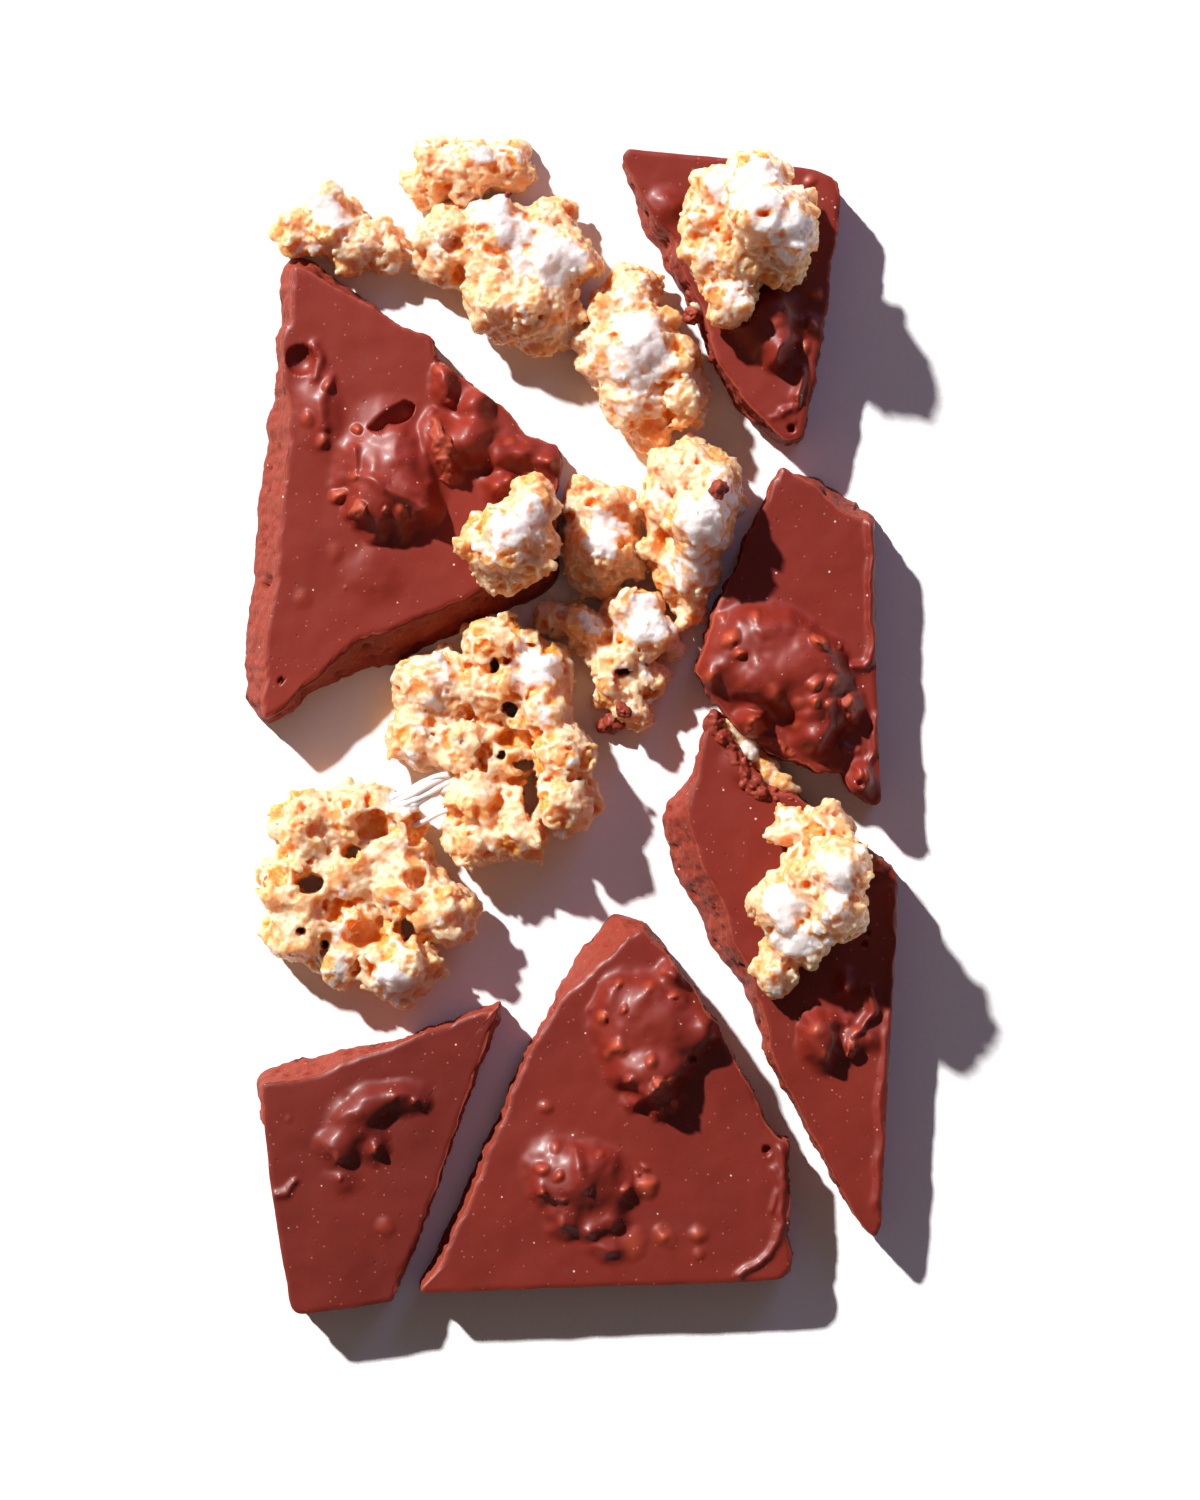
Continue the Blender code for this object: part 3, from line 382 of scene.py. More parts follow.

# Deep hollows that don't go through, painted amber as shade by their depth, as (x, y, radius in x, radius in
# y, depth)
HOLLOWS = {
    "cluster_lace": [(-8, -1.6, 3, 1.6, 3), (-3.4, 13.2, 1.4, 2, 2.4), (-16.6, -12.8, 1.8, 1.4, 2.6)],
    "cluster_disc": [
        (-29.9, -30.7, 3.7, 2.2, 4), (-28.6, -14.6, 3, 2.4, 4), (-22.6, -22.4, 1.4, 2.2, 3),
        (-37.4, -15.4, 1.8, 1.4, 2.4), (-34, -27.4, 1.2, 2, 2.4)],
    "cluster_crown": [(-17.2, 71, 1.8, 1.2, 2), (-11, 69.8, 2.2, 1.2, 2)],
    "cluster_tower": [(13.8, 26.8, 1.8, 2.8, 2.4)],
    "cluster_perch": [(28.2, 74.4, 2, 2.6, 2)],
}

# Chocolate crumb that hangs on the broken edge of the lower shard, as (x, y, z, three radii)
EDGE_CRUMB = [
    (21.7, 0.6, 6.7, 1.3, 1.7, 1.8), (22.4, -1.6, 6.2, 1.5, 1.7, 2.4), (23.5, -3.7, 6.5, 1.7, 1.7, 2.2),
    (24.4, -5.2, 7, 1.7, 1.4, 1.8), (25.6, -6.7, 6.4, 1.7, 1.5, 2.4), (26.6, -8.2, 6.8, 1.9, 1.4, 1.9),
    (28.5, -9.6, 6.7, 1.8, 1.3, 1.9), (30.4, -10.6, 6.4, 1.6, 1.1, 2), (32.6, -11, 6, 1.6, 1, 2),
    (25.2, -3.2, 3.2, 1.6, 1.7, 2.6), (27.8, -7, 3, 2, 2, 2.6), (31.2, -9.4, 3, 2, 1.5, 2.4)]

# Crisps in that edge, as (x, y, z, three radii, share of marshmallow)
EDGE_CRISPS = [
    (23.5, -0.2, 5.2, 1.3, 1.3, 1.5, 0.3), (26.6, -3.7, 5, 1.8, 2.1, 2, 0.6),
    (25.2, -1.9, 4.8, 1.4, 1.4, 1.7, 0.4), (29.6, -6.4, 4.6, 1.6, 1.5, 1.9, 0.4),
    (28.2, -5.1, 4.6, 1.4, 1.3, 1.7, 0.3), (31.2, -8.6, 5.2, 2.1, 1.4, 1.8, 0.2),
    (33, -9.2, 4.6, 1.4, 1, 1.5, 0.3), (28.8, -7.8, 5.4, 1.1, 1, 1.4, 0.3)]

# Loose crumbs of chocolate, as (x, y, z, radius)
CRUMBS = [
    (6.6, 1, 1.7, 1.5), (4.9, 0.2, 1.2, 1), (18.3, 60.6, 5.2, 1.2), (18.7, 64.2, 3.4, 1.2),
    (21.7, 54.6, 4.8, 1)]

# Crisps that broken chocolate shows, as (x, y, z, radius, share of marshmallow)
BARE_CRISPS = [(19, 62.2, 5.6, 1, 0.5)]

# Chips of chocolate that lie on a cluster, as (cluster, x, y, radius)
CHIPS = [
    ("cluster_tower", 21.6, 34.2, 1.3), ("cluster_tower", 22.6, 34.8, 0.8), ("cluster_arch", 8, 2.2, 1.1),
    ("cluster_crown", -8.7, 78, 0.5)]

# Threads of marshmallow, as (radius, points)
THREADS = [
    (0.8, [(-26.6, -13.6, 5.8), (-23.8, -12.2, 6), (-20.4, -10.2, 5.8), (-15.6, -8.6, 4.8)]),
    (0.8, [(-26.6, -12.6, 6), (-23.6, -11.2, 6.2), (-20.2, -9.2, 6), (-15.6, -7.8, 4.8)]),
    (0.7, [(-26.6, -11.6, 6), (-23.4, -10.2, 6.3), (-20, -8.3, 6), (-15.6, -7, 4.8)]),
    (0.6, [(-26.4, -10.6, 5.8), (-23.2, -9.3, 6), (-19.8, -7.4, 5.8), (-15.6, -6.2, 4.8)]),
    (0.5, [(-24.8, -15.8, 6), (-21.6, -14, 5.4), (-16.4, -11.2, 5)]),
    (0.35, [(-26, 71, 3.4), (-23.6, 70.2, 3), (-20.8, 68.4, 3.6)])]

# How dark each shard is, from 0 to 1
SHARD_TONES = {
    "shard_left": 0.0, "shard_upper": 0.3, "shard_right": 0.25, "shard_lower": 0.5, "shard_base": 0.6,
    "shard_corner": 0.9}


def hashed(cells, salt):
    """An even random number from 0 to 1 for each row of whole numbers, by mixing their bits."""
    mixed = np.full(cells.shape[:-1], (salt * 2654435761 + 97) % 2**32, np.uint32)
    for axis in range(cells.shape[-1]):
        mixed = (mixed ^ cells[..., axis].astype(np.uint32)) * np.uint32(0x85EBCA6B)
        mixed = (mixed ^ (mixed >> np.uint32(13))) * np.uint32(0xC2B2AE35)
        mixed = mixed ^ (mixed >> np.uint32(16))
    return mixed / 2.0**32


def noise(points, size, salt):
    """Even noise from -1 to 1 with bumps about size across.

    Each corner of a grid of squares or cubes has a random value, and between the corners they are
    mixed along the curve 3t^2 - 2t^3.
    """
    scaled = points / size
    cell = np.floor(scaled).astype(np.int64)
    part = scaled - cell
    part = part * part * (3.0 - 2.0 * part)
    total = np.zeros(points.shape[:-1])
    for corner in np.ndindex(*(2,) * points.shape[-1]):
        step = np.array(corner)
        weight = np.prod(np.where(step == 1, part, 1.0 - part), axis=-1)
        total += weight * hashed(cell + step, salt)
    return 2.0 * total - 1.0


def layers(points, *parts):
    """Noise of several sizes added up, each part given as (height, size, salt)."""
    return sum(height * noise(points, size, salt) for height, size, salt in parts)


def sway(points, size, salt):
    """Noise along each axis, to move the points by."""
    return np.stack([noise(points, size, salt + axis) for axis in range(points.shape[-1])], -1)


def ease(value, low, high):
    """0 below low, 1 above high, and the curve 3t^2 - 2t^3 between."""
    part = np.clip((value - low) / (high - low), 0.0, 1.0)
    return part * part * (3.0 - 2.0 * part)


def soft_max(first, second, blend):
    """The larger of two values, with a fillet where they cross: a quarter of blend by closeness squared."""
    close = np.maximum(blend - np.abs(first - second), 0.0) / blend
    return np.maximum(first, second) + 0.25 * blend * close * close


def soft_min(first, second, blend):
    """The smaller of two values, with a fillet where they cross."""
    return -soft_max(-first, -second, blend)


def line_distance(points, line):
    """Distance from each point to a line of straight pieces: the least over the pieces."""
    nearest = np.full(points.shape[:-1], np.inf)
    for start, end in zip(line[:-1], line[1:]):
        side = end - start
        part = np.clip(((points - start) @ side) / (side @ side), 0.0, 1.0)
        gap = np.linalg.norm(points - start - part[..., None] * side, axis=-1)
        nearest = np.minimum(nearest, gap)
    return nearest


def cells(points, size, salt):
    """Cells round random places, one place to a cube: reach to the border, reach to the middle, and
    a random number of the cell.

    The reach to the border is how much farther the second nearest place is than the nearest.
    """
    home = np.floor(points / size).astype(np.int64)
    first = np.full(points.shape[:-1], 9.0)
    second = first.copy()
    number = np.zeros(points.shape[:-1])
    for offset in np.ndindex(*(3,) * points.shape[-1]):
        cell = home + np.array(offset) - 1
        place = np.stack([hashed(cell, salt + axis) for axis in range(points.shape[-1])], -1)
        gap = np.linalg.norm(points / size - cell - 0.1 - 0.8 * place, axis=-1)
        nearer = gap < first
        second = np.where(nearer, first, np.minimum(second, gap))
        number = np.where(nearer, hashed(cell, salt + 7), number)
        first = np.where(nearer, gap, first)
    return second - first, first, number


def shard_salt(name):
    """Where a shard's random numbers start."""
    return 40 * list(SHARD_EDGES).index(name)


def swirled(name, points):
    """The points moved by up to 0.7 mm of noise, so that nothing on the chocolate is an exact oval."""
    salt = shard_salt(name)
    return points + 0.5 * sway(points, 3.2, salt + 1) + 0.2 * sway(points, 1.3, salt + 3)


def turned_reach(points, x, y, radius_x, radius_y, turn):
    """Squared distance from a turned oval's middle, as a share of its radii."""
    gap = points - np.array([x, y])
    swing = math.radians(turn)
    across = gap[..., 0] * math.cos(swing) + gap[..., 1] * math.sin(swing)
    along = gap[..., 1] * math.cos(swing) - gap[..., 0] * math.sin(swing)
    return (across / radius_x) ** 2 + (along / radius_y) ** 2


def thin_cover(name, points):
    """Height that small crisps add under a thin skin: rise times (1 - r^2)^2 for each."""
    warped = swirled(name, points)
    return sum(
        rise * np.maximum(1.0 - turned_reach(warped, x, y, radius, radius, 0.0), 0.0) ** 2
        for x, y, radius, rise in SHARD_BUMPS[name])


def torn_open(name, points):
    """1 in the torn places and 0 outside, with a ragged edge."""
    ragged = points + 0.5 * sway(points, 1.1, TORN_SALT)
    torn = np.zeros(points.shape[:-1])
    for place in SHARD_TORN[name]:
        torn = np.maximum(torn, ease(1.0 - turned_reach(ragged, *place), 0.0, 0.3))
    return torn


def mound_height(name, points):
    """Height of the crisps under the chocolate.

    Each one is its rise times one minus a power of its reach, higher for a wide one, and all are
    joined with fillets as wide as half the crisp.
    """
    mound = np.full(points.shape[:-1], -3.0)
    for *place, rise in SHARD_LOBES[name]:
        narrow = min(place[2:4])
        crisp = rise * (1.0 - turned_reach(points, *place) ** (1.2 + 0.1 * narrow))
        mound = soft_max(mound, np.maximum(crisp, -3.0), 0.5 + 0.45 * narrow)
    return soft_max(mound, 0.0, 1.7)


def top_height(name, points):
    """Height of a shard's poured face.

    A flat pour with slow waves over the crisps, which it softens: their height is the mean over a
    ring. Small crisps and ridges are bell shaped on top of it. Burst bubbles and facets are taken
    away, and torn places stand out and are rough.
    """
    salt = shard_salt(name)
    warped = swirled(name, points)
    turns = np.arange(6) * math.pi / 3.0
    ring = [(SOFTENING * math.cos(turn), SOFTENING * math.sin(turn)) for turn in turns]
    height = sum(mound_height(name, warped + np.array(spot)) for spot in [(0.0, 0.0)] + ring) / 7.0
    waves = layers(warped, (0.34, 3.1, salt + 5), (0.08, 1.5, salt + 6))
    height = height + ease(height, 0.5, 2.2) * waves
    height = height + thin_cover(name, points)
    for width, rise, line in SHARD_RIDGES[name]:
        height += rise * np.exp(-(line_distance(warped, np.array(line, float)) / width) ** 2)
    for x, y, radius, depth in SHARD_PITS[name]:
        height -= depth * np.maximum(1.0 - turned_reach(points, x, y, radius, radius, 0.0), 0.0) ** 0.5
    for x, y, radius, level, slope in SHARD_FACETS.get(name, []):
        gap = points + 1.2 * noise(points, 2.6, FACET_SALT)[..., None] - np.array([x, y])
        inside = ease(1.0 - (gap**2).sum(-1) / radius**2, 0.0, 0.2)
        face = np.minimum(height, level + 0.7 * slope * (gap[..., 1] - gap[..., 0]))
        height = height + inside * (face - height)
    rough = 0.45 + layers(points, (0.35, 1.3, TORN_SALT + 2), (0.2, 0.6, TORN_SALT + 3))
    height = SLAB + height + torn_open(name, points) * rough
    return height + layers(points, (0.12, 7.0, salt + 20), (0.04, 2.4, salt + 21))


def shard_outline(name, step):
    """The top edge in even steps with rounded corners, its outward directions, feet and brokenness.

    The points are spread evenly along the table's sides and averaged with their neighbours. An edge
    on the bar's own rim was moulded and stays smooth. The others broke, and wander with noise. Its
    direction seen from the heart is kept from turning back, so that the face doesn't fold.
    """
    table = np.array(SHARD_EDGES[name] + SHARD_EDGES[name][:1], float)
    length = np.concatenate([[0.0], np.cumsum(np.linalg.norm(np.diff(table[:, :2], axis=0), axis=1))])
    count = int(round(length[-1] / step))
    places = np.arange(count) * length[-1] / count
    run = np.stack([np.interp(places, length, table[:, axis]) for axis in range(3)], -1)
    for _ in range(3):
        run = 0.25 * np.roll(run, 1, 0) + 0.5 * run + 0.25 * np.roll(run, -1, 0)
    edge = run[:, :2]
    along = np.roll(edge, -2, 0) - np.roll(edge, 2, 0)
    out = np.stack([-along[:, 1], along[:, 0]], -1)
    out /= np.linalg.norm(out, axis=1)[:, None]
    rim = ease(np.abs(edge), np.array([37.0, 78.0]), np.array([43.0, 81.0]))
    moulded = (np.abs(out) * rim).max(1)
    broken = 1.0 - 0.85 * ease(moulded, 0.6, 0.9) * (run[:, 2] < 0.8)
    heart = np.array(SHARD_HEARTS[name])
    inward = heart - edge
    facing = -(inward * out).sum(1) / np.linalg.norm(inward, axis=1)
    wander = layers(edge, (0.34, 3.0, shard_salt(name) + 30), (0.16, 0.9, shard_salt(name) + 31))
    wander *= np.clip(3.0 * facing - 0.3, 0.05, 1.0)
    gap = edge + out * (broken * wander)[:, None] - heart
    turn = -np.unwrap(np.arctan2(gap[:, 1], gap[:, 0]))
    turn = 0.5 * (np.maximum.accumulate(turn) + np.minimum.accumulate(turn[::-1])[::-1])
    edge = np.linalg.norm(gap, axis=1)[:, None] * np.column_stack([np.cos(turn), -np.sin(turn)])
    return edge + heart, out, run[:, 2], broken


def shard_surface(name, looks):
    """One shard as a closed surface of two parameters: round the edge, and from underneath to on top.

    A row runs from the middle of the flat face out to the foot, up the wall, over the rim and in to
    the heart of the poured face. The wall leans by its foot times one minus its height, and its
    crags are noise along the outward direction. On top, a point is a share of the way from the heart
    to the edge, at the height of the poured face, which rounds off towards the rim.
    """
    salt = shard_salt(name) + 34
    edge, out, foot, broken = shard_outline(name, looks.shard_step / MM)
    heart = np.array(SHARD_HEARTS[name], float)
    inward = heart - edge
    radius = np.linalg.norm(inward, axis=1)
    inward /= radius[:, None]
    lean = np.clip(-(inward * out).sum(1), 0.35, 1.0)
    drop = looks.rim_drop / MM * (0.7 + 0.5 * noise(edge, 4.0, salt)) * (0.6 + 0.4 * broken)
    rim_height = top_height(name, edge) - drop
    bitten = 0.3 + 0.2 * noise(edge, 2.0, salt + 9)
    nothing = np.zeros(len(edge))

    rings = []
    for share in UNDER_SHARES:
        rings.append((heart + (edge + out * foot[:, None] - heart) * share, nothing, nothing, nothing))
    for level in np.linspace(0.0, 1.0, WALL_ROWS):
        lift = level * rim_height
        base = edge + out * (foot * (1.0 - level))[:, None]
        spot = np.column_stack([base, lift])
        crag = layers(spot, (0.42, 2.3, salt + 1), (0.26, 0.9, salt + 2), (0.14, 0.45, salt + 3))
        _, middle, number = cells(spot, 2.2, salt + 4)
        crag -= 1.1 * (number > 0.45) * ease(0.45 - middle, 0.0, 0.3)
        swell = math.sin(math.pi * min(level * 1.15, 1.0)) ** 0.5 if level < 0.87 else 0.0
        base = base + out * (broken * crag * (0.25 + 0.75 * swell) * ease(1.0 - level, 0.0, 0.12))[:, None]
        rings.append((base, lift, broken * ease(level, 0.0, 0.06), nothing))
    last = np.minimum(RIM_STEPS[-1] / lean / radius, 0.5)
    shares = [np.minimum(step / lean / radius, 0.5 * step / RIM_STEPS[-1]) for step in RIM_STEPS]
    for part in np.linspace(0.0, 1.0, looks.shard_rows)[1:]:
        shares.append(last + (1.0 - last) * (1.0 - (1.0 - part) ** 0.8))
    for share in shares:
        flat = edge + inward * (share * radius)[:, None]
        inset = share * radius * lean
        round_off = drop * np.maximum(1.0 - inset / 0.7, 0.0) ** 2
        bare = np.maximum(broken * np.maximum(1.0 - inset / bitten, 0.0), torn_open(name, flat))
        thin = np.maximum(np.clip(thin_cover(name, flat) / 0.85, 0.0, 1.0) ** 1.2, bare)
        rings.append((flat, top_height(name, flat) - round_off, 0.5 * bare, thin))
    flat, height, fresh, thin = (np.array(part)[:, ::-1] for part in zip(*rings))
    values = {"fresh": fresh.ravel(), "thin": thin.ravel(), "deep": np.full(fresh.size, SHARD_TONES[name])}
    return np.concatenate([flat, height[..., None]], -1), values


def joined(surfaces):
    """Points, quads and triangles of several closed surfaces put into one mesh.

    A surface's rows close round their columns. Its first and last row each shrink to a point, with a
    fan of triangles round it.
    """
    parts = []
    total = 0
    for rows in surfaces:
        rows = rows.copy()
        rows[0] = rows[0].mean(0)
        rows[-1] = rows[-1].mean(0)
        count, columns = rows.shape[:2]
        here = np.arange(columns)
        after = (here + 1) % columns
        row = total + np.arange(1, count - 2)[:, None] * columns
        quads = np.stack([row + here, row + after, row + columns + after, row + columns + here], -1)
        first = total + columns
        last = total + (count - 2) * columns
        fan_in = np.stack([np.full(columns, total), first + after, first + here], -1)
        fan_out = np.stack([np.full(columns, last + columns), last + here, last + after], -1)
        parts.append((rows.reshape(-1, 3), quads.reshape(-1, 4), np.concatenate([fan_in, fan_out])))
        total += count * columns
    return [np.concatenate(part) for part in zip(*parts)]


def put_object(name, data, place=(0.0, 0.0, 0.0), turn=(0.0, 0.0, 0.0)):
    """A new object in the scene."""
    item = bpy.data.objects.new(name, data)
    item.location = place
    item.rotation_euler = turn
    bpy.context.scene.collection.objects.link(item)
    return item


def put_mesh(name, shape, values=None):
    """A new mesh object from a shape's whole arrays, and values kept on its points.

    The shape is its points in millimetres, its quads and, if it has them, its triangles.
    """
    points, quads = shape[:2]
    triangles = shape[2] if len(shape) > 2 else np.zeros((0, 3), int)
    used, numbers = np.unique(np.concatenate([quads.ravel(), triangles.ravel()]), return_inverse=True)
    mesh = bpy.data.meshes.new(name)
    mesh.vertices.add(len(used))
    place = (points[used] - np.array([*CENTRE, 0.0])) * MM
    mesh.vertices.foreach_set("co", place.ravel().astype(np.float32))
    mesh.loops.add(len(numbers))
    mesh.loops.foreach_set("vertex_index", numbers.astype(np.int32))
    starts = np.concatenate([
        np.arange(len(quads)) * 4, quads.size + np.arange(len(triangles)) * 3])
    mesh.polygons.add(len(starts))
    mesh.polygons.foreach_set("loop_start", starts.astype(np.int32))
    mesh.polygons.foreach_set("use_smooth", np.ones(len(starts), bool))
    for key, value in (values or {}).items():
        kept = mesh.attributes.new(key, "FLOAT", "POINT")
        kept.data.foreach_set("value", value[used].astype(np.float32))
    mesh.update(calc_edges=True)
    mesh.validate()
    return put_object(name, mesh)


def window(axes, middle, reach):
    """The block of a grid within reach of a point, and each axis's offsets from the point."""
    block = []
    offsets = []
    for axis, centre in zip(axes, middle):
        first, last = np.searchsorted(axis, [centre - reach, centre + reach])
        block.append(slice(first, last))
        offsets.append(axis[first:last] - centre)
    return tuple(block), np.stack(np.meshgrid(*offsets, indexing="ij"), -1)


def oval(offsets, radii):
    """Distance to an oval's skin, negative inside: reach times reach less one, over how fast it grows."""
    reach = np.sqrt(((offsets / radii) ** 2).sum(-1))
    growth = np.sqrt(((offsets / np.square(radii)) ** 2).sum(-1))
    return reach * (reach - 1.0) / np.maximum(growth, 1e-6)


def lump_level(lobe, base):
    """Middle height and half height of a lump, whose foot reaches below what it stands on."""
    return base + LOBE_SINK * lobe[4], (1.0 - LOBE_SINK) * lobe[4]


def lump_reach(lobe, base, point):
    """Squared distance from a lump's middle, as a share of its radii."""
    middle, half = lump_level(lobe, base)
    return (((point[0] - lobe[0]) / lobe[2]) ** 2 + ((point[1] - lobe[1]) / lobe[3]) ** 2
            + ((point[2] - middle) / half) ** 2)


def crowded(name, x, y):
    """Whether a grain here would come too close to a neighbouring cluster or shard."""
    for other, lobes in CLUSTER_LOBES.items():
        if other != name and any(math.hypot(
                (x - lobe[0]) / (lobe[2] + GRAIN_ROOM), (y - lobe[1]) / (lobe[3] + GRAIN_ROOM)) < 1.0
                for lobe in lobes):
            return True
    return name not in LIES_ON and any(
        line_distance(np.array([x, y]), np.array(edge + edge[:1], float)[:, :2]) < GRAIN_ROOM
        for edge in SHARD_EDGES.values())


def grain_layout(name, base):
    """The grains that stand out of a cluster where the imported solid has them.

    Each is (place, spin, tip, size). Of several tries the one farthest from the others is taken.
    """
    lobes = CLUSTER_LOBES[name]
    draw = random.Random(list(CLUSTER_LOBES).index(name))
    weights = [lobe[2] * lobe[3] for lobe in lobes]
    placed = []
    for _ in range(GRAIN_COUNTS[name]):
        best = None
        best_gap = -1.0
        for _ in range(GRAIN_TRIES):
            lobe = draw.choices(lobes, weights)[0]
            middle, half = lump_level(lobe, base)
            turn = draw.uniform(0.0, math.tau)
            lift = draw.uniform(-0.1, 1.0)
            flat = math.sqrt(1.0 - lift * lift)
            point = np.array([
                lobe[0] + GRAIN_SEAT * lobe[2] * flat * math.cos(turn),
                lobe[1] + GRAIN_SEAT * lobe[3] * flat * math.sin(turn),
                middle + GRAIN_SEAT * half * lift])
            spin = turn + math.pi / 2.0 + draw.uniform(-0.9, 0.9)
            tip = draw.uniform(-0.5, 0.5)
            size = draw.uniform(0.75, 1.1)
            buried = any(lump_reach(other, base, point) < (0.9 * GRAIN_SEAT) ** 2 for other in lobes)
            if buried or crowded(name, point[0], point[1]):
                continue
            gap = min([np.linalg.norm(point - other[0]) for other in placed], default=99.0)
            if gap > best_gap:
                best = (point, spin, tip, size)
                best_gap = gap
        if best:
            placed.append(best)
    return placed


def filler_grains(name, base, kept, draw):
    """More grains between the standing ones, each a gap away from all others, seated a bit deeper."""
    lobes = np.array(CLUSTER_LOBES[name])
    weights = lobes[:, 2] * lobes[:, 3]
    picks = lobes[draw.choice(len(lobes), FILLER_TRIES, p=weights / weights.sum())]
    turn = draw.uniform(0.0, math.tau, len(picks))
    lift = draw.uniform(-0.3, 1.0, len(picks))
    flat = np.sqrt(1.0 - lift**2)
    seat = draw.uniform(0.55, 0.84, len(picks))
    middle, half = lump_level(picks.T, base)
    spots = np.column_stack([
        picks[:, 0] + seat * picks[:, 2] * flat * np.cos(turn),
        picks[:, 1] + seat * picks[:, 3] * flat * np.sin(turn), middle + seat * half * lift])
    places = [grain[0] for grain in kept]
    grains = []
    for spot, way in zip(spots, turn):
        if np.linalg.norm(np.array(places) - spot, axis=1).min() > FILLER_GAP:
            places.append(spot)
            spin = way + draw.uniform(0.0, math.pi)
            grains.append((spot, spin, draw.uniform(-0.8, 0.8), draw.uniform(0.55, 0.85)))
    return grains


def grain_turn(spin, tip):
    """The three directions of a grain: along it, across it, and up from it."""
    along = np.array([math.cos(spin) * math.cos(tip), math.sin(spin) * math.cos(tip), math.sin(tip)])
    across = np.array([-math.sin(spin), math.cos(spin), 0.0])
    return np.stack([along, across, np.cross(along, across)])


def grid_points(axes, where):
    """The places of grid points given by their numbers along each axis."""
    return np.stack([axis[index] for axis, index in zip(axes, where)], -1)


def strew_balls(field, source, axes, kind, draw, taken=False):
    """Balls at random grid points where the source lies in a band, added to the field or taken away."""
    low, high, share, smallest, largest, blend, margin = kind
    spots = np.flatnonzero((source > low) & (source < high))
    picks = draw.choice(spots, int(len(spots) * share), replace=False)
    for spot in grid_points(axes, np.unravel_index(picks, field.shape)):
        radius = draw.uniform(smallest, largest)
        block, offsets = window(axes, spot, radius + margin)
        ball = np.sqrt((offsets**2).sum(-1)) - radius
        if taken:
            field[block] = soft_max(field[block], -ball, blend)
        else:
            field[block] = soft_min(field[block], ball, blend)


def blur(field, width):
    """The field averaged over a box, one axis after another, with running sums."""
    for axis in range(3):
        room = [(width + 1, width) if other == axis else (0, 0) for other in range(3)]
        total = np.cumsum(np.pad(field, room, "edge"), axis)
        here = np.arange(field.shape[axis])
        span = 2 * width + 1
        field = (np.take(total, span + here, axis) - np.take(total, here, axis)) / span
    return field


def sample(field, spots):
    """The field's value between its grid points, mixed from the eight round each spot."""
    cell = np.clip(np.floor(spots).astype(int), 0, np.array(field.shape) - 2)
    part = np.clip(spots - cell, 0.0, 1.0)
    total = np.zeros(len(spots))
    for corner in np.ndindex(2, 2, 2):
        weight = np.prod(np.where(np.array(corner) == 1, part, 1.0 - part), axis=1)
        total += weight * field[tuple((cell + np.array(corner)).T)]
    return total


def skin(field):
    """Points and quads round the places where a field changes sign, in steps of its grid.

    A cube that the skin crosses gets one point, the mean of the places where its edges cross, and an
    edge that crosses gets one quad between the four cubes round it.
    """
    shape = np.array(field.shape) - 1
    total = np.zeros((*shape, 3))
    count = np.zeros(shape)
    crossings = []
    for axis in range(3):
        sides = [other for other in range(3) if other != axis]
        before = np.take(field, np.arange(shape[axis]), axis)
        after = np.take(field, np.arange(1, shape[axis] + 1), axis)
        cross = (before < 0.0) != (after < 0.0)
        part = np.where(cross, before / np.where(cross, before - after, 1.0), 0.0)
        for steps in np.ndindex(2, 2):
            block = [slice(None)] * 3
            for side, step in zip(sides, steps):
                block[side] = slice(step, step + shape[side])
            here = cross[tuple(block)]
            count += here
            total[..., axis] += part[tuple(block)]
            for side, step in zip(sides, steps):
                total[..., side] += here * step
        crossings.append((axis, sides, cross, before < 0.0))
    crossed = np.argwhere(count > 0)
    place = tuple(crossed.T)
    number = np.full(shape, -1)
    number[place] = np.arange(len(crossed))
    points = crossed + total[place] / count[place][:, None]
    quads = []
    for axis, sides, cross, solid in crossings:
        inner = [slice(None) if side == axis else slice(1, -1) for side in range(3)]
        spots = np.argwhere(cross[tuple(inner)])
        spots[:, sides] += 1
        corners = []
        for steps in ((-1, -1), (0, -1), (0, 0), (-1, 0)):
            corner = spots.copy()
            corner[:, sides] += steps
            corners.append(number[tuple(corner.T)])
        quad = np.stack(corners, -1)
        outwards = solid[tuple(spots.T)] != (axis == 1)
        quads.append(np.where(outwards[:, None], quad, quad[:, ::-1]))
    return points, np.concatenate(quads)


def largest_body(count, quads):
    """The quads of the largest joined part: points pass their lowest number on until none changes."""
    label = np.arange(count)
    first = quads.ravel()
    second = np.roll(quads, -1, axis=1).ravel()
    while True:
        low = np.minimum(label[first], label[second])
        lower = label.copy()
        np.minimum.at(lower, first, low)
        np.minimum.at(lower, second, low)
        lower = lower[lower]
        if np.array_equal(lower, label):
            break
        label = lower
    body = label[quads[:, 0]]
    return quads[body == np.bincount(body).argmax()]


def pocket_depth(name, points):
    """How deep the skin sinks between its webs, in two sizes.

    Each wide cell has its own depth, reached a little way from its border, and goes deeper in the
    open clusters. Foam cells are smaller and shallow.
    """
    deepest = OPEN_POCKET if name in HOLLOWS and name in HOLES else POCKET
    warped = points + 0.7 * sway(points, 1.9, WARP_SALT)
    border, _, number = cells(warped, POCKET_SIZE, POCKET_SALT)
    wide = deepest * ease(number, 0.15, 1.0) * ease(border, 0.06, 0.42)
    border, _, number = cells(warped, FOAM_SIZE, FOAM_SALT)
    return wide, FOAM * ease(number, 0.2, 0.9) * ease(border, 0.05, 0.45)


def marshmallow_reach(name, flat):
    """Distance seen from above to a cluster's ragged marshmallow patches, negative on them."""
    ragged = layers(flat, (1.3, 2.4, RAGGED_SALT), (0.8, 1.1, RAGGED_SALT + 1))
    patch = np.full(flat.shape[:-1], 4.0)
    for x, y, *radii in MARSHMALLOW[name]:
        patch = soft_min(patch, oval(flat - np.array([x, y]), np.array(radii)) + ragged, 0.8)
    return patch - 0.4


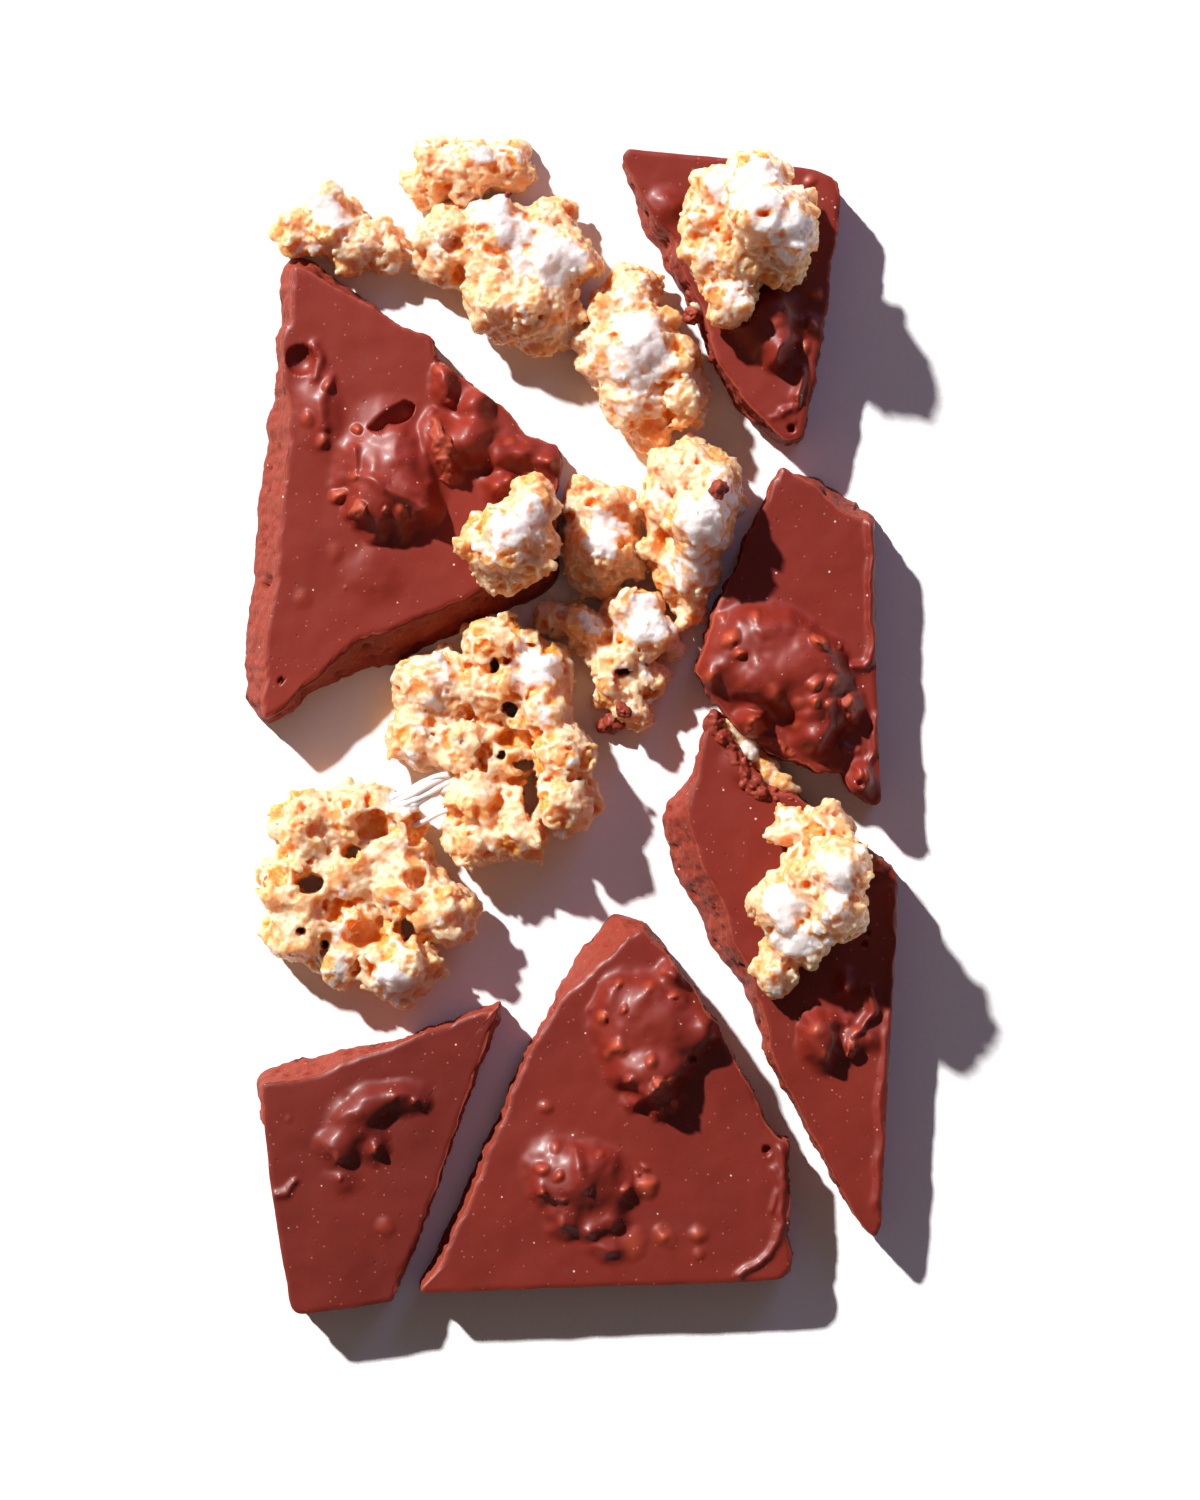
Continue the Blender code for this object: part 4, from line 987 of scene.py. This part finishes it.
def wavered(offsets, middle, much):
    """Offsets from a place moved by up to so much noise, so that an oval there isn't exact."""
    return offsets + much * sway(offsets + np.array(middle), 1.8, WAVER_SALT)


def cluster_field(name, looks):
    """Distance to a cluster's skin on a grid, negative inside, with what its colours need.

    Lumps and puffed grains are ovals joined with fillets. Pockets between thick webs are sunk into
    the skin. Blisters are balls added on it, and open bubbles, hollows and holes are balls and ovals
    taken away. Marshmallow is laid on the top last and stays smooth. What the cluster lies on cuts
    it off underneath.
    """
    shard = LIES_ON.get(name)
    base = SLAB + REST_GAP if shard else 0.0
    lobes = CLUSTER_LOBES[name]
    draw = np.random.default_rng(list(CLUSTER_LOBES).index(name) + 11)
    table = np.array(lobes)
    area = math.pi * (table[:, 2] * table[:, 3]).sum()
    step = looks.cluster_step / MM * (LARGE_STEP if area > LARGE_AREA else 1.0)
    low = [*(table[:, :2] - table[:, 2:4]).min(0) - 2.6, base - 1.6]
    high = [*(table[:, :2] + table[:, 2:4]).max(0) + 2.6, base + table[:, 4].max() + 2.2]
    axes = [np.arange(start, end, step) for start, end in zip(low, high)]
    field = np.full([len(axis) for axis in axes], 4.0)
    tone = np.zeros(field.shape)

    for lobe in lobes:
        middle, half = lump_level(lobe, base)
        radii = np.array([lobe[2], lobe[3], half]) * 0.94
        block, offsets = window(axes, (lobe[0], lobe[1], middle), radii.max() + 2.6)
        field[block] = soft_min(field[block], oval(offsets, radii), 2.2)
    standing = grain_layout(name, base)
    for place, spin, tip, size in standing + filler_grains(name, base, standing, draw):
        radii = np.array([looks.grain_length, looks.grain_width, looks.grain_width * 0.92]) / MM / 2.0 * size
        block, offsets = window(axes, place, radii[0] + 0.8)
        gap = oval(offsets @ grain_turn(spin, tip).T, radii)
        tone[block] = np.where(gap < field[block], draw.uniform(), tone[block])
        field[block] = soft_min(field[block], gap, 0.9)

    near = (field > -1.9) & (field < 1.1)
    spots = grid_points(axes, np.nonzero(near))
    field[near] += layers(spots, (0.26, 2.1, LUMP_SALT), (0.24, 1.0, LUMP_SALT + 1))
    closed = field.copy()
    wide, foam = pocket_depth(name, spots)
    field[near] += wide + foam - 0.2 + 0.13 * noise(spots, 0.62, SKIN_SALT)

    strew_balls(field, closed, axes, OPEN_BUBBLES, draw, taken=True)
    for x, y, *radii in HOLLOWS.get(name, []):
        column = [np.abs(axis - value).argmin() for axis, value in zip(axes[:2], (x, y))]
        solid = np.flatnonzero(closed[column[0], column[1]] < 0.0)
        middle = (x, y, axes[2][solid.max()] if len(solid) else base)
        block, offsets = window(axes, middle, max(radii) + 1.0)
        field[block] = soft_max(field[block], -oval(wavered(offsets, middle, 0.8), np.array(radii)), 0.5)
    for x, y, *radii in HOLES.get(name, []):
        middle = (x, y, base + HOLE_MIDDLE)
        block, offsets = window(axes, middle, HOLE_REACH)
        shaft = oval(wavered(offsets, middle, 0.5)[..., :2], np.array(radii))
        field[block] = soft_max(field[block], -shaft, 0.5)
    strew_balls(field, field, axes, BLISTERS, draw)
    strew_balls(field, field, axes, BURST_BLISTERS, draw, taken=True)

    drape = blur(closed, int(round(0.55 / step))) - 0.02
    flat = np.stack(np.meshgrid(axes[0], axes[1], indexing="ij"), -1)
    cream = soft_max(drape, marshmallow_reach(name, flat)[:, :, None], 0.9)
    cream = soft_max(cream, base + CREAM_FOOT - axes[2], 0.5)
    near = np.abs(cream) < 1.5
    spots = grid_points(axes, np.nonzero(near))
    cream[near] += layers(spots, (0.22, 1.5, CREAM_SALT), (0.12, 0.7, CREAM_SALT + 1))
    field = soft_min(field, cream, 0.4)

    support = top_height(shard, flat) + 0.1 if shard else np.zeros(flat.shape[:2])
    field = np.maximum(field, support[:, :, None] - axes[2])
    if shard:
        field = np.maximum(field, base - DIP - axes[2])
    for side in range(3):
        np.moveaxis(field, side, 0)[[0, -1]] = 1.0
    # How crowded each place is; with the depth under the closed skin it paints shade into the crevices as
    # amber
    crowding = blur(np.clip(0.5 - field / step, 0.0, 1.0), int(round(1.1 / step)))
    return axes, step, field, {"tone": tone, "cream": cream, "depth": -closed, "crowding": crowding}


def cluster_surface(name, looks):
    """One cluster's points and quads, and its colour values, from its field's skin.

    The values paint light and shade: marshmallow webs and patches white only on faces turned up, less white
    and more amber in pockets, foam cells, crowded places and deep cavities, and more amber on faces turned
    down.
    """
    axes, step, field, kept = cluster_field(name, looks)
    spots, quads = skin(field)
    quads = largest_body(len(spots), quads)
    points = np.array([axis[0] for axis in axes]) + spots * step
    tone, cream, depth, crowding = (sample(value, spots) for value in kept.values())
    lift = np.array([0.0, 0.0, 2.0])
    # How much each point faces up, from the closed skin above and below it: it paints light on tops and
    # shade on faces turned down
    facing_up = (sample(kept["depth"], spots - lift) - sample(kept["depth"], spots + lift)) / (4.0 * step)
    wide, foam = pocket_depth(name, points)
    pocket = np.minimum(wide / 0.6, 1.0)
    patchy = layers(points, (0.5, 4.2, PATCHY_SALT), (0.35, 1.6, PATCHY_SALT + 1))
    # Painted light: webs between the pockets, in random patches, white only on faces turned up
    web = ease(0.3 - pocket, 0.0, 0.3) * ease(patchy, -0.1, 0.4) * ease(facing_up, 0.1, 0.8)
    # Painted light: the listed marshmallow patches, white only on faces turned up
    laid = ease(-marshmallow_reach(name, points[:, :2]), -0.4, 1.0) * ease(facing_up, 0.1, 0.7)
    # Painted shade: less marshmallow white in the pockets
    marsh = np.maximum(ease(0.2 - cream, 0.0, 0.4), np.maximum(0.7 * web, laid * (1.0 - 0.7 * pocket)))
    # Painted shade and painted glow: amber in pockets, foam cells, crowded places, deep cavities and on
    # faces turned down; the patchy part is random tone
    amber_and_shade = (0.6 * pocket + 0.8 * foam + 0.3 * ease(crowding, 0.5, 0.8) + 0.45 * ease(depth, 0.3, 1.4)
              + 0.4 * ease(-facing_up, -0.6, 0.3) + 0.6 * patchy)
    values = {"tone": tone, "amber_and_shade": np.clip(amber_and_shade, 0.0, 1.0), "marshmallow": marsh}
    return (points, quads), values


def pebble(middle, radius, draw):
    """A small lump as a closed surface of two angles: an oval of drawn shape and turn, whose reach
    grows and shrinks by noise of three sizes."""
    lift = np.linspace(-0.5 * math.pi, 0.5 * math.pi, 22)[:, None]
    around = np.linspace(0.0, math.tau, 34, endpoint=False)[None, :]
    ball = np.stack([
        np.cos(lift) * np.cos(around), np.cos(lift) * np.sin(around),
        np.sin(lift) * np.ones_like(around)], -1)
    salt = int(draw.integers(1000))
    swell = layers(ball + 5.0, (0.4, 1.1, salt), (0.25, 0.5, salt + 1), (0.12, 0.25, salt + 2))
    radii = radius * draw.uniform(0.85, 1.15, 3)
    turned = (ball * (1.0 + swell)[..., None] * radii) @ grain_turn(*draw.uniform(-1.5, 1.5, 2))
    return np.array(middle) + turned


def heap_surface(ovals, salt):
    """Ragged lumps as one skin: ovals joined with small fillets, with noise of three sizes on them.

    It also gives the number of the oval that each point is nearest to.
    """
    table = np.array(ovals)
    low = (table[:, :3] - table[:, 3:6]).min(0) - 1.5
    high = (table[:, :3] + table[:, 3:6]).max(0) + 1.5
    axes = [np.arange(start, end, HEAP_STEP) for start, end in zip(low, high)]
    place = np.stack(np.meshgrid(*axes, indexing="ij"), -1)
    field = np.full(place.shape[:3], 4.0)
    for lump in table:
        field = soft_min(field, oval(place - lump[:3], lump[3:6]), 0.6)
    for much, size in ((0.6, 1.9), (0.5, 0.9), (0.26, 0.5)):
        field += much * noise(place, size, salt + int(10.0 * size))
    spots, quads = skin(field)
    points = low + HEAP_STEP * spots
    reach = np.stack([oval(points - lump[:3], lump[3:6]) for lump in table])
    return (points, quads), reach.argmin(0)


def strand(path, radius, salt, columns=10, steps=26):
    """A pulled thread of marshmallow: a round profile carried along a path, thinner in the middle."""
    path = np.array(path, float)
    place = np.linspace(0.0, len(path) - 1.0, steps)
    line = np.stack([np.interp(place, np.arange(len(path)), path[:, axis]) for axis in range(3)], -1)
    line += 0.5 * sway(line, 2.2, salt + 3)
    for _ in range(4):
        line[1:-1] = 0.25 * line[:-2] + 0.5 * line[1:-1] + 0.25 * line[2:]
    along = np.gradient(line, axis=0)
    along /= np.linalg.norm(along, axis=1)[:, None]
    side = np.cross(along, [0.0, 0.0, 1.0])
    side /= np.linalg.norm(side, axis=1)[:, None]
    up = np.cross(side, along)
    share = np.linspace(0.0, 1.0, steps)
    width = radius * (0.8 + 0.2 * (2.0 * share - 1.0) ** 2) * (1.0 + 0.3 * noise(line, 0.9, salt))
    width[[0, -1]] = 1e-4
    around = -np.linspace(0.0, math.tau, columns, endpoint=False)
    ring = np.cos(around)[None, :, None] * side[:, None, :] + np.sin(around)[None, :, None] * up[:, None, :]
    return line[:, None, :] + width[:, None, None] * ring


def top_of(name, x, y):
    """Height in millimetres of a piece near a place, the highest point within 0.6 mm."""
    mesh = bpy.data.objects[name].data
    points = np.empty(len(mesh.vertices) * 3, np.float32)
    mesh.vertices.foreach_get("co", points)
    points = points.reshape(-1, 3) / MM + np.array([*CENTRE, 0.0])
    near = np.hypot(points[:, 0] - x, points[:, 1] - y) < 0.6
    return points[near, 2].max()


def crumb_values(points):
    """Values for the chocolate material of crumbs: broken nearly all over, warmer in places."""
    return {"fresh": 0.6 + 0.4 * noise(points, 1.5, CRUMB_SALT),
            "thin": 0.3 + 0.4 * noise(points, 2.0, CRUMB_SALT + 1), "deep": np.full(len(points), 0.5)}


def crisp_values(points, marsh):
    """Values for the rice material of crisps that broke free, with each point's share of marshmallow."""
    return {"tone": 0.5 + 0.5 * noise(points, 1.2, CRISP_SALT),
            "amber_and_shade": 0.5 + 0.7 * noise(points, 0.9, CRISP_SALT + 1), "marshmallow": marsh}


def linear(hex_colour):
    """An sRGB colour as four linear numbers."""
    parts = np.array([int(hex_colour[start:start + 2], 16) for start in (1, 3, 5)]) / 255.0
    parts = np.where(parts <= 0.04045, parts / 12.92, ((parts + 0.055) / 1.055) ** 2.4)
    return (*parts, 1.0)


def add_node(tree, kind, out=None, inputs=None, **settings):
    """Add a node, give it its settings, set or link its inputs, and give back the output asked for."""
    node = tree.nodes.new(kind)
    for key, value in settings.items():
        setattr(node, key, value)
    for key, value in (inputs or {}).items():
        if isinstance(value, bpy.types.NodeSocket):
            tree.links.new(value, node.inputs[key])
        else:
            node.inputs[key].default_value = value
    return node if out is None else node.outputs[out]


def new_material(name, *attributes):
    """An empty node material, with its tree, the place on the object and the values kept on the points."""
    material = bpy.data.materials.new(name)
    material.use_nodes = True
    tree = material.node_tree
    tree.nodes.clear()
    place = add_node(tree, "ShaderNodeTexCoord", "Object")
    kept = [add_node(tree, "ShaderNodeAttribute", "Fac", attribute_name=key) for key in attributes]
    return material, tree, place, *kept


def poured_chocolate(looks):
    """Milk chocolate, poured and left to set: a satin skin over slow waves, with pinprick bubbles and
    pale dust, warmer where it is thin over a crisp. Where it broke it is matte, lighter and crumbly."""
    material, tree, place, fresh, thin, deep = new_material("poured_milk_chocolate", "fresh", "thin", "deep")
    waves = add_node(tree, "ShaderNodeTexNoise", "Fac", {
        "Vector": place, "Scale": 1.0 / (WAVE * MM), "Detail": 6.0, "Roughness": 0.6})
    cloud = add_node(tree, "ShaderNodeMapRange", "Result", {
        "Value": waves, "From Min": 0.35, "From Max": 0.65, "To Min": 0.35, "To Max": 0.0})
    shade = add_node(
        tree, "ShaderNodeMath", "Value", {0: deep, 1: 0.65, 2: cloud}, operation="MULTIPLY_ADD")
    warm = add_node(tree, "ShaderNodeMath", "Value", {0: thin, 1: 0.75}, operation="MULTIPLY")
    crumb = add_node(tree, "ShaderNodeTexNoise", "Fac", {
        "Vector": place, "Scale": 1.0 / (CRUMB * MM), "Detail": 5.0})
    flecks = add_node(tree, "ShaderNodeMapRange", "Result", {
        "Value": crumb, "From Min": 0.35, "From Max": 0.65})
    torn = add_node(tree, "ShaderNodeMix", 2, {
        0: flecks, 6: looks.chocolate, 7: looks.chocolate_fresh}, data_type="RGBA")
    colour = looks.chocolate
    for share, laid in ((shade, looks.chocolate_dark), (warm, looks.chocolate_thin), (fresh, torn)):
        colour = add_node(tree, "ShaderNodeMix", 2, {0: share, 6: colour, 7: laid}, data_type="RGBA")
    for size, near, far, much, tint in (
            (DUST, 0.038, 0.06, 0.8, "#e6cfc6"), (DOTS, 0.07, 0.12, 0.35, "#d08a72")):
        spots = add_node(tree, "ShaderNodeTexVoronoi", "Distance", {
            "Vector": place, "Scale": 1.0 / (size * MM)})
        share = add_node(tree, "ShaderNodeMapRange", "Result", {
            "Value": spots, "From Min": near, "From Max": far, "To Min": much, "To Max": 0.0})
        colour = add_node(tree, "ShaderNodeMix", 2, {
            0: share, 6: colour, 7: linear(tint)}, data_type="RGBA")
    bubbles = add_node(tree, "ShaderNodeTexVoronoi", "Distance", {
        "Vector": place, "Scale": 1.0 / (PRICKS * MM)})
    pricks = add_node(tree, "ShaderNodeMapRange", "Result", {
        "Value": bubbles, "From Min": 0.02, "From Max": 0.12})
    rough = add_node(tree, "ShaderNodeMath", "Value", {0: crumb, 1: fresh}, operation="MULTIPLY")
    normal = add_node(tree, "ShaderNodeBump", "Normal", {
        "Height": waves, "Strength": 0.3, "Distance": 0.6 * MM})
    for height, strength, distance in ((pricks, 0.5, 0.1 * MM), (rough, 0.6, 0.6 * MM)):
        normal = add_node(tree, "ShaderNodeBump", "Normal", {
            "Height": height, "Normal": normal, "Strength": strength, "Distance": distance})
    gloss = add_node(tree, "ShaderNodeMapRange", "Result", {"Value": waves, "To Min": 0.42, "To Max": 0.54})
    matte = add_node(
        tree, "ShaderNodeMath", "Value", {0: fresh, 1: 0.3, 2: gloss}, operation="MULTIPLY_ADD")
    shader = add_node(tree, "ShaderNodeBsdfPrincipled", "BSDF", {
        "Base Color": colour, "Roughness": matte, "Normal": normal, "IOR": 1.47, "Coat Weight": 0.06,
        "Coat Roughness": 0.2, "Subsurface Weight": 0.15, "Subsurface Scale": 0.8 * MM,
        "Subsurface Radius": (1.0, 0.3, 0.12)})
    add_node(tree, "ShaderNodeOutputMaterial", None, {"Surface": shader})
    return material


def puffed_rice(looks):
    """Rice puffed with hot air and toasted: a blistered skin over random toasted and amber patches. Its pale
    tops where it stands out and its amber in pockets and on faces turned down are painted light and shade,
    the amber also a painted glow of light let into the grain. Marshmallow fuses the grains in white, soft
    patches, its webs and patches white only on faces turned up as painted light."""
    material, tree, place, amber_and_shade, tone, marsh = new_material(
        "toasted_puffed_rice", "amber_and_shade", "tone", "marshmallow")
    fine = add_node(tree, "ShaderNodeTexNoise", "Fac", {
        "Vector": place, "Scale": 1.0 / (GRIT * MM), "Detail": 5.0, "Roughness": 0.65})
    # Amber share, from values that carry painted shade and painted glow in recesses and on faces turned down
    uneven = add_node(
        tree, "ShaderNodeMath", "Value", {0: fine, 1: 1.5, 2: amber_and_shade}, operation="MULTIPLY_ADD")
    amber = add_node(tree, "ShaderNodeMapRange", "Result", {
        "Value": uneven, "From Min": 0.7, "From Max": 1.6})
    # White share, from marshmallow values that carry painted light: webs and patches white only on faces
    # turned up
    cover = add_node(
        tree, "ShaderNodeMath", "Value", {0: fine, 1: -1.2, 2: marsh}, operation="MULTIPLY_ADD")
    white = add_node(tree, "ShaderNodeMapRange", "Result", {
        "Value": cover, "From Min": -0.35, "From Max": 0.15})
    colour = looks.rice_pale
    for share, laid in ((tone, looks.rice_toasted), (amber, looks.rice_amber), (white, looks.marshmallow)):
        colour = add_node(tree, "ShaderNodeMix", 2, {0: share, 6: colour, 7: laid}, data_type="RGBA")
    blisters = add_node(tree, "ShaderNodeTexVoronoi", "Distance", {
        "Vector": place, "Scale": 1.0 / (BLISTER * MM)}, feature="SMOOTH_F1")
    blistered = add_node(tree, "ShaderNodeBump", "Normal", {
        "Height": blisters, "Strength": 0.7, "Distance": 0.25 * MM})
    normal = add_node(tree, "ShaderNodeBump", "Normal", {
        "Height": fine, "Normal": blistered, "Strength": 0.6, "Distance": 0.5 * MM})
    shader = add_node(tree, "ShaderNodeBsdfPrincipled", "BSDF", {
        "Base Color": colour, "Roughness": 0.26, "Normal": normal, "IOR": 1.45, "Subsurface Weight": 1.0,
        "Subsurface Scale": 2.5 * MM, "Subsurface Radius": (1.0, 0.92, 0.84)})
    add_node(tree, "ShaderNodeOutputMaterial", None, {"Surface": shader})
    return material


def pulled_marshmallow(looks):
    """Marshmallow melted and pulled into threads: white, satin, and it lets light through."""
    material, tree, place = new_material("pulled_marshmallow")
    fine = add_node(tree, "ShaderNodeTexNoise", "Fac", {
        "Vector": place, "Scale": 1.0 / (PULL * MM), "Detail": 3.0})
    colour = add_node(tree, "ShaderNodeMix", 2, {
        0: fine, 6: looks.marshmallow, 7: linear("#efe2dc")}, data_type="RGBA")
    normal = add_node(tree, "ShaderNodeBump", "Normal", {
        "Height": fine, "Strength": 0.4, "Distance": 0.3 * MM})
    shader = add_node(tree, "ShaderNodeBsdfPrincipled", "BSDF", {
        "Base Color": colour, "Roughness": 0.3, "Normal": normal, "IOR": 1.45, "Subsurface Weight": 0.5,
        "Subsurface Scale": 1.2 * MM, "Subsurface Radius": (1.0, 0.8, 0.7)})
    add_node(tree, "ShaderNodeOutputMaterial", None, {"Surface": shader})
    return material


def studio_paper(looks):
    """Heavy white paper, pressed smooth: matte, with a faint tooth."""
    material, tree, place = new_material("studio_paper")
    tooth = add_node(tree, "ShaderNodeTexNoise", "Fac", {
        "Vector": place, "Scale": 1.0 / (TOOTH * MM), "Detail": 3.0})
    colour = add_node(tree, "ShaderNodeMix", 2, {
        0: tooth, 6: looks.floor, 7: linear("#fbfafb")}, data_type="RGBA")
    normal = add_node(tree, "ShaderNodeBump", "Normal", {
        "Height": tooth, "Strength": 0.3, "Distance": 0.2 * MM})
    shader = add_node(tree, "ShaderNodeBsdfPrincipled", "BSDF", {
        "Base Color": colour, "Roughness": 0.85, "Normal": normal, "Specular IOR Level": 0.2})
    add_node(tree, "ShaderNodeOutputMaterial", None, {"Surface": shader})
    return material


def aimed(way):
    """The turn that points a light along a way."""
    return math.acos(-way[2] / math.hypot(*way)), 0.0, math.atan2(-way[0], way[1])


def add_piece(name, shape, values, material, nodes=()):
    """Add a piece with its material, let it move with the bar, and let it stand for its solids."""
    item = put_mesh(name, shape, values)
    item.data.materials.append(material)
    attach(item, "root")
    if nodes:
        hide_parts(*nodes)


def length_setting(name, description, default):
    """A length in metres for the panel."""
    return bpy.props.FloatProperty(
        name=name, description=description, default=default, precision=5, unit="LENGTH")


def colour_setting(name, description, hex_colour):
    """A colour for the panel."""
    return bpy.props.FloatVectorProperty(
        name=name, description=description, default=linear(hex_colour), size=4, subtype="COLOR", min=0.0,
        max=1.0)


class RiceBarLooks(bpy.types.PropertyGroup):
    """Sizes and colours of the bar that a user would change."""
    shard_step: length_setting("Shard step", "Spacing of the points round a shard's edge", 0.0004)
    shard_rows: bpy.props.IntProperty(
        name="Shard rows", description="Rows of points from a shard's rim to its heart", default=92)
    rim_drop: length_setting("Rim drop", "How far a shard's rim rounds off below its poured face", 0.00045)
    cluster_step: length_setting("Cluster step", "Spacing of the points on a cluster's skin", 0.00024)
    grain_length: length_setting("Grain length", "Length of a puffed grain", 0.0062)
    grain_width: length_setting("Grain width", "Width of a puffed grain", 0.0033)
    chocolate: colour_setting("Chocolate", "Poured milk chocolate", "#8a2818")
    chocolate_dark: colour_setting("Chocolate, deep", "The darker tone of the pour", "#651b12")
    chocolate_thin: colour_setting("Chocolate, thin", "Where a crisp shines through", "#c15533")
    chocolate_fresh: colour_setting("Chocolate, broken", "Chocolate where it broke", "#88351a")
    # The rice colours also paint light and shade: pale where a grain stands out, amber in its recesses and
    # on faces turned down, marshmallow webs and patches white only on faces turned up
    rice_pale: colour_setting("Rice, pale", "The palest grains", "#ffd6b4")
    rice_toasted: colour_setting("Rice, toasted", "The most toasted grains", "#fab47a")
    rice_amber: colour_setting("Rice, amber", "The hollows of a grain", "#f0a046")
    marshmallow: colour_setting("Marshmallow", "The marshmallow between the grains", "#faecea")
    floor: colour_setting("Floor", "The pale floor", "#ffffff")
    key_power: bpy.props.FloatProperty(
        name="Key light", description="Strength of the main light", default=6.2)
    sheen_power: bpy.props.FloatProperty(
        name="Sheen", description="Strength of the cool soft panel behind the bar", default=0.55)
    fill_power: bpy.props.FloatProperty(
        name="Fill light", description="Strength of the light from all round", default=0.108)


class RICEBAR_OT_shards(bpy.types.Operator):
    """Pour the six chocolate shards over their solids"""
    bl_idname = "ricebar.shards"
    bl_label = "Pour the shards"

    def execute(self, context):
        looks = context.scene.rice_bar
        material = poured_chocolate(looks)
        for name in SHARD_EDGES:
            rows, values = shard_surface(name, looks)
            add_piece(f"{name}_poured", joined([rows]), values, material, [name])
        return {"FINISHED"}


class RICEBAR_OT_clusters(bpy.types.Operator):
    """Grow the twelve rice clusters over their solids"""
    bl_idname = "ricebar.clusters"
    bl_label = "Puff the clusters"

    def execute(self, context):
        looks = context.scene.rice_bar
        material = puffed_rice(looks)
        for name in CLUSTER_LOBES:
            shape, values = cluster_surface(name, looks)
            add_piece(f"{name}_puffed", shape, values, material, [name])
        return {"FINISHED"}


class RICEBAR_OT_bits(bpy.types.Operator):
    """Add the crumbs, bare crisps and threads that breaking left"""
    bl_idname = "ricebar.bits"
    bl_label = "Scatter the broken bits"

    def execute(self, context):
        draw = np.random.default_rng(5)
        chocolate = bpy.data.materials["poured_milk_chocolate"]
        rice = bpy.data.materials["toasted_puffed_rice"]
        crumbs = [pebble(crumb[:3], crumb[3], draw) for crumb in CRUMBS]
        for name, x, y, radius in CHIPS:
            crumbs.append(pebble((x, y, top_of(f"{name}_puffed", x, y) + 0.3 * radius), radius, draw))
        shape = joined(crumbs)
        shape[0][:, 2] = np.maximum(shape[0][:, 2], 0.02)
        add_piece("chocolate_crumbs", shape, crumb_values(shape[0]), chocolate)
        shape, _ = heap_surface(EDGE_CRUMB, EDGE_CRUMB_SALT)
        add_piece("edge_crumb", shape, crumb_values(shape[0]), chocolate)

        crisps = [pebble(crisp[:3], crisp[3], draw) for crisp in BARE_CRISPS]
        shape = joined(crisps)
        marsh = np.repeat([crisp[4] for crisp in BARE_CRISPS], len(shape[0]) // len(crisps))
        add_piece("bare_crisps", shape, crisp_values(shape[0], marsh), rice)
        shape, owner = heap_surface(EDGE_CRISPS, EDGE_CRISPS_SALT)
        marsh = np.array(EDGE_CRISPS)[owner, 6]
        add_piece("edge_crisps", shape, crisp_values(shape[0], marsh), rice)

        threads = joined([
            strand(path, radius, THREAD_SALT + index) for index, (radius, path) in enumerate(THREADS)])
        material = pulled_marshmallow(context.scene.rice_bar)
        add_piece("marshmallow_threads", threads, None, material)
        return {"FINISHED"}


class RICEBAR_OT_stage(bpy.types.Operator):
    """Set the pale floor, the soft light and the camera straight above"""
    bl_idname = "ricebar.stage"
    bl_label = "Set the stage"

    def execute(self, context):
        looks = context.scene.rice_bar
        corners = np.array([[-1.0, -1.0, 0.0], [1.0, -1.0, 0.0], [1.0, 1.0, 0.0], [-1.0, 1.0, 0.0]])
        floor = put_mesh("floor", (FLOOR_REACH * corners, np.array([[0, 1, 2, 3]])))
        floor.data.materials.append(studio_paper(looks))

        sun = bpy.data.lights.new("key", "SUN")
        sun.energy = looks.key_power
        sun.angle = math.radians(2.5)
        sun.color = (1.0, 0.985, 0.96)
        put_object("key", sun, turn=aimed(KEY_WAY))

        panel = bpy.data.lights.new("sheen", "AREA")
        panel.energy = looks.sheen_power
        panel.size = 0.32
        panel.color = linear("#b0a8f4")[:3]
        put_object("sheen", panel, SHEEN_PLACE, aimed([-along for along in SHEEN_PLACE]))

        world = bpy.data.worlds.new("soft_room")
        world.use_nodes = True
        background = world.node_tree.nodes["Background"]
        background.inputs["Color"].default_value = linear("#f2dcd4")
        background.inputs["Strength"].default_value = looks.fill_power
        context.scene.world = world
        context.scene.view_settings.view_transform = "Standard"

        lens = bpy.data.cameras.new("camera")
        lens.lens = 100.0
        lens.sensor_width = 36.0
        lens.clip_end = 10.0
        camera = put_object("camera", lens, CAMERA_PLACE)
        context.scene.camera = camera
        return {"FINISHED"}


class RICEBAR_PT_panel(bpy.types.Panel):
    """The bar's steps and looks in the sidebar"""
    bl_idname = "RICEBAR_PT_panel"
    bl_label = "Crisped rice chocolate bar"
    bl_space_type = "VIEW_3D"
    bl_region_type = "UI"
    bl_category = "Rice bar"

    def draw(self, context):
        for operator in (RICEBAR_OT_shards, RICEBAR_OT_clusters, RICEBAR_OT_bits, RICEBAR_OT_stage):
            self.layout.operator(operator.bl_idname)
        for key in RiceBarLooks.__annotations__:
            self.layout.prop(context.scene.rice_bar, key)


CLASSES = (
    RiceBarLooks, RICEBAR_OT_shards, RICEBAR_OT_clusters, RICEBAR_OT_bits, RICEBAR_OT_stage,
    RICEBAR_PT_panel)


def register():
    """Add the classes and the scene's own looks."""
    for item in CLASSES:
        bpy.utils.register_class(item)
    bpy.types.Scene.rice_bar = bpy.props.PointerProperty(type=RiceBarLooks)


def unregister():
    """Take the looks and the classes away."""
    del bpy.types.Scene.rice_bar
    for item in reversed(CLASSES):
        bpy.utils.unregister_class(item)


def main():
    """Build every piece and the stage."""
    register()
    bpy.ops.ricebar.shards()
    bpy.ops.ricebar.clusters()
    bpy.ops.ricebar.bits()
    bpy.ops.ricebar.stage()


if __name__ == "__main__":
    main()
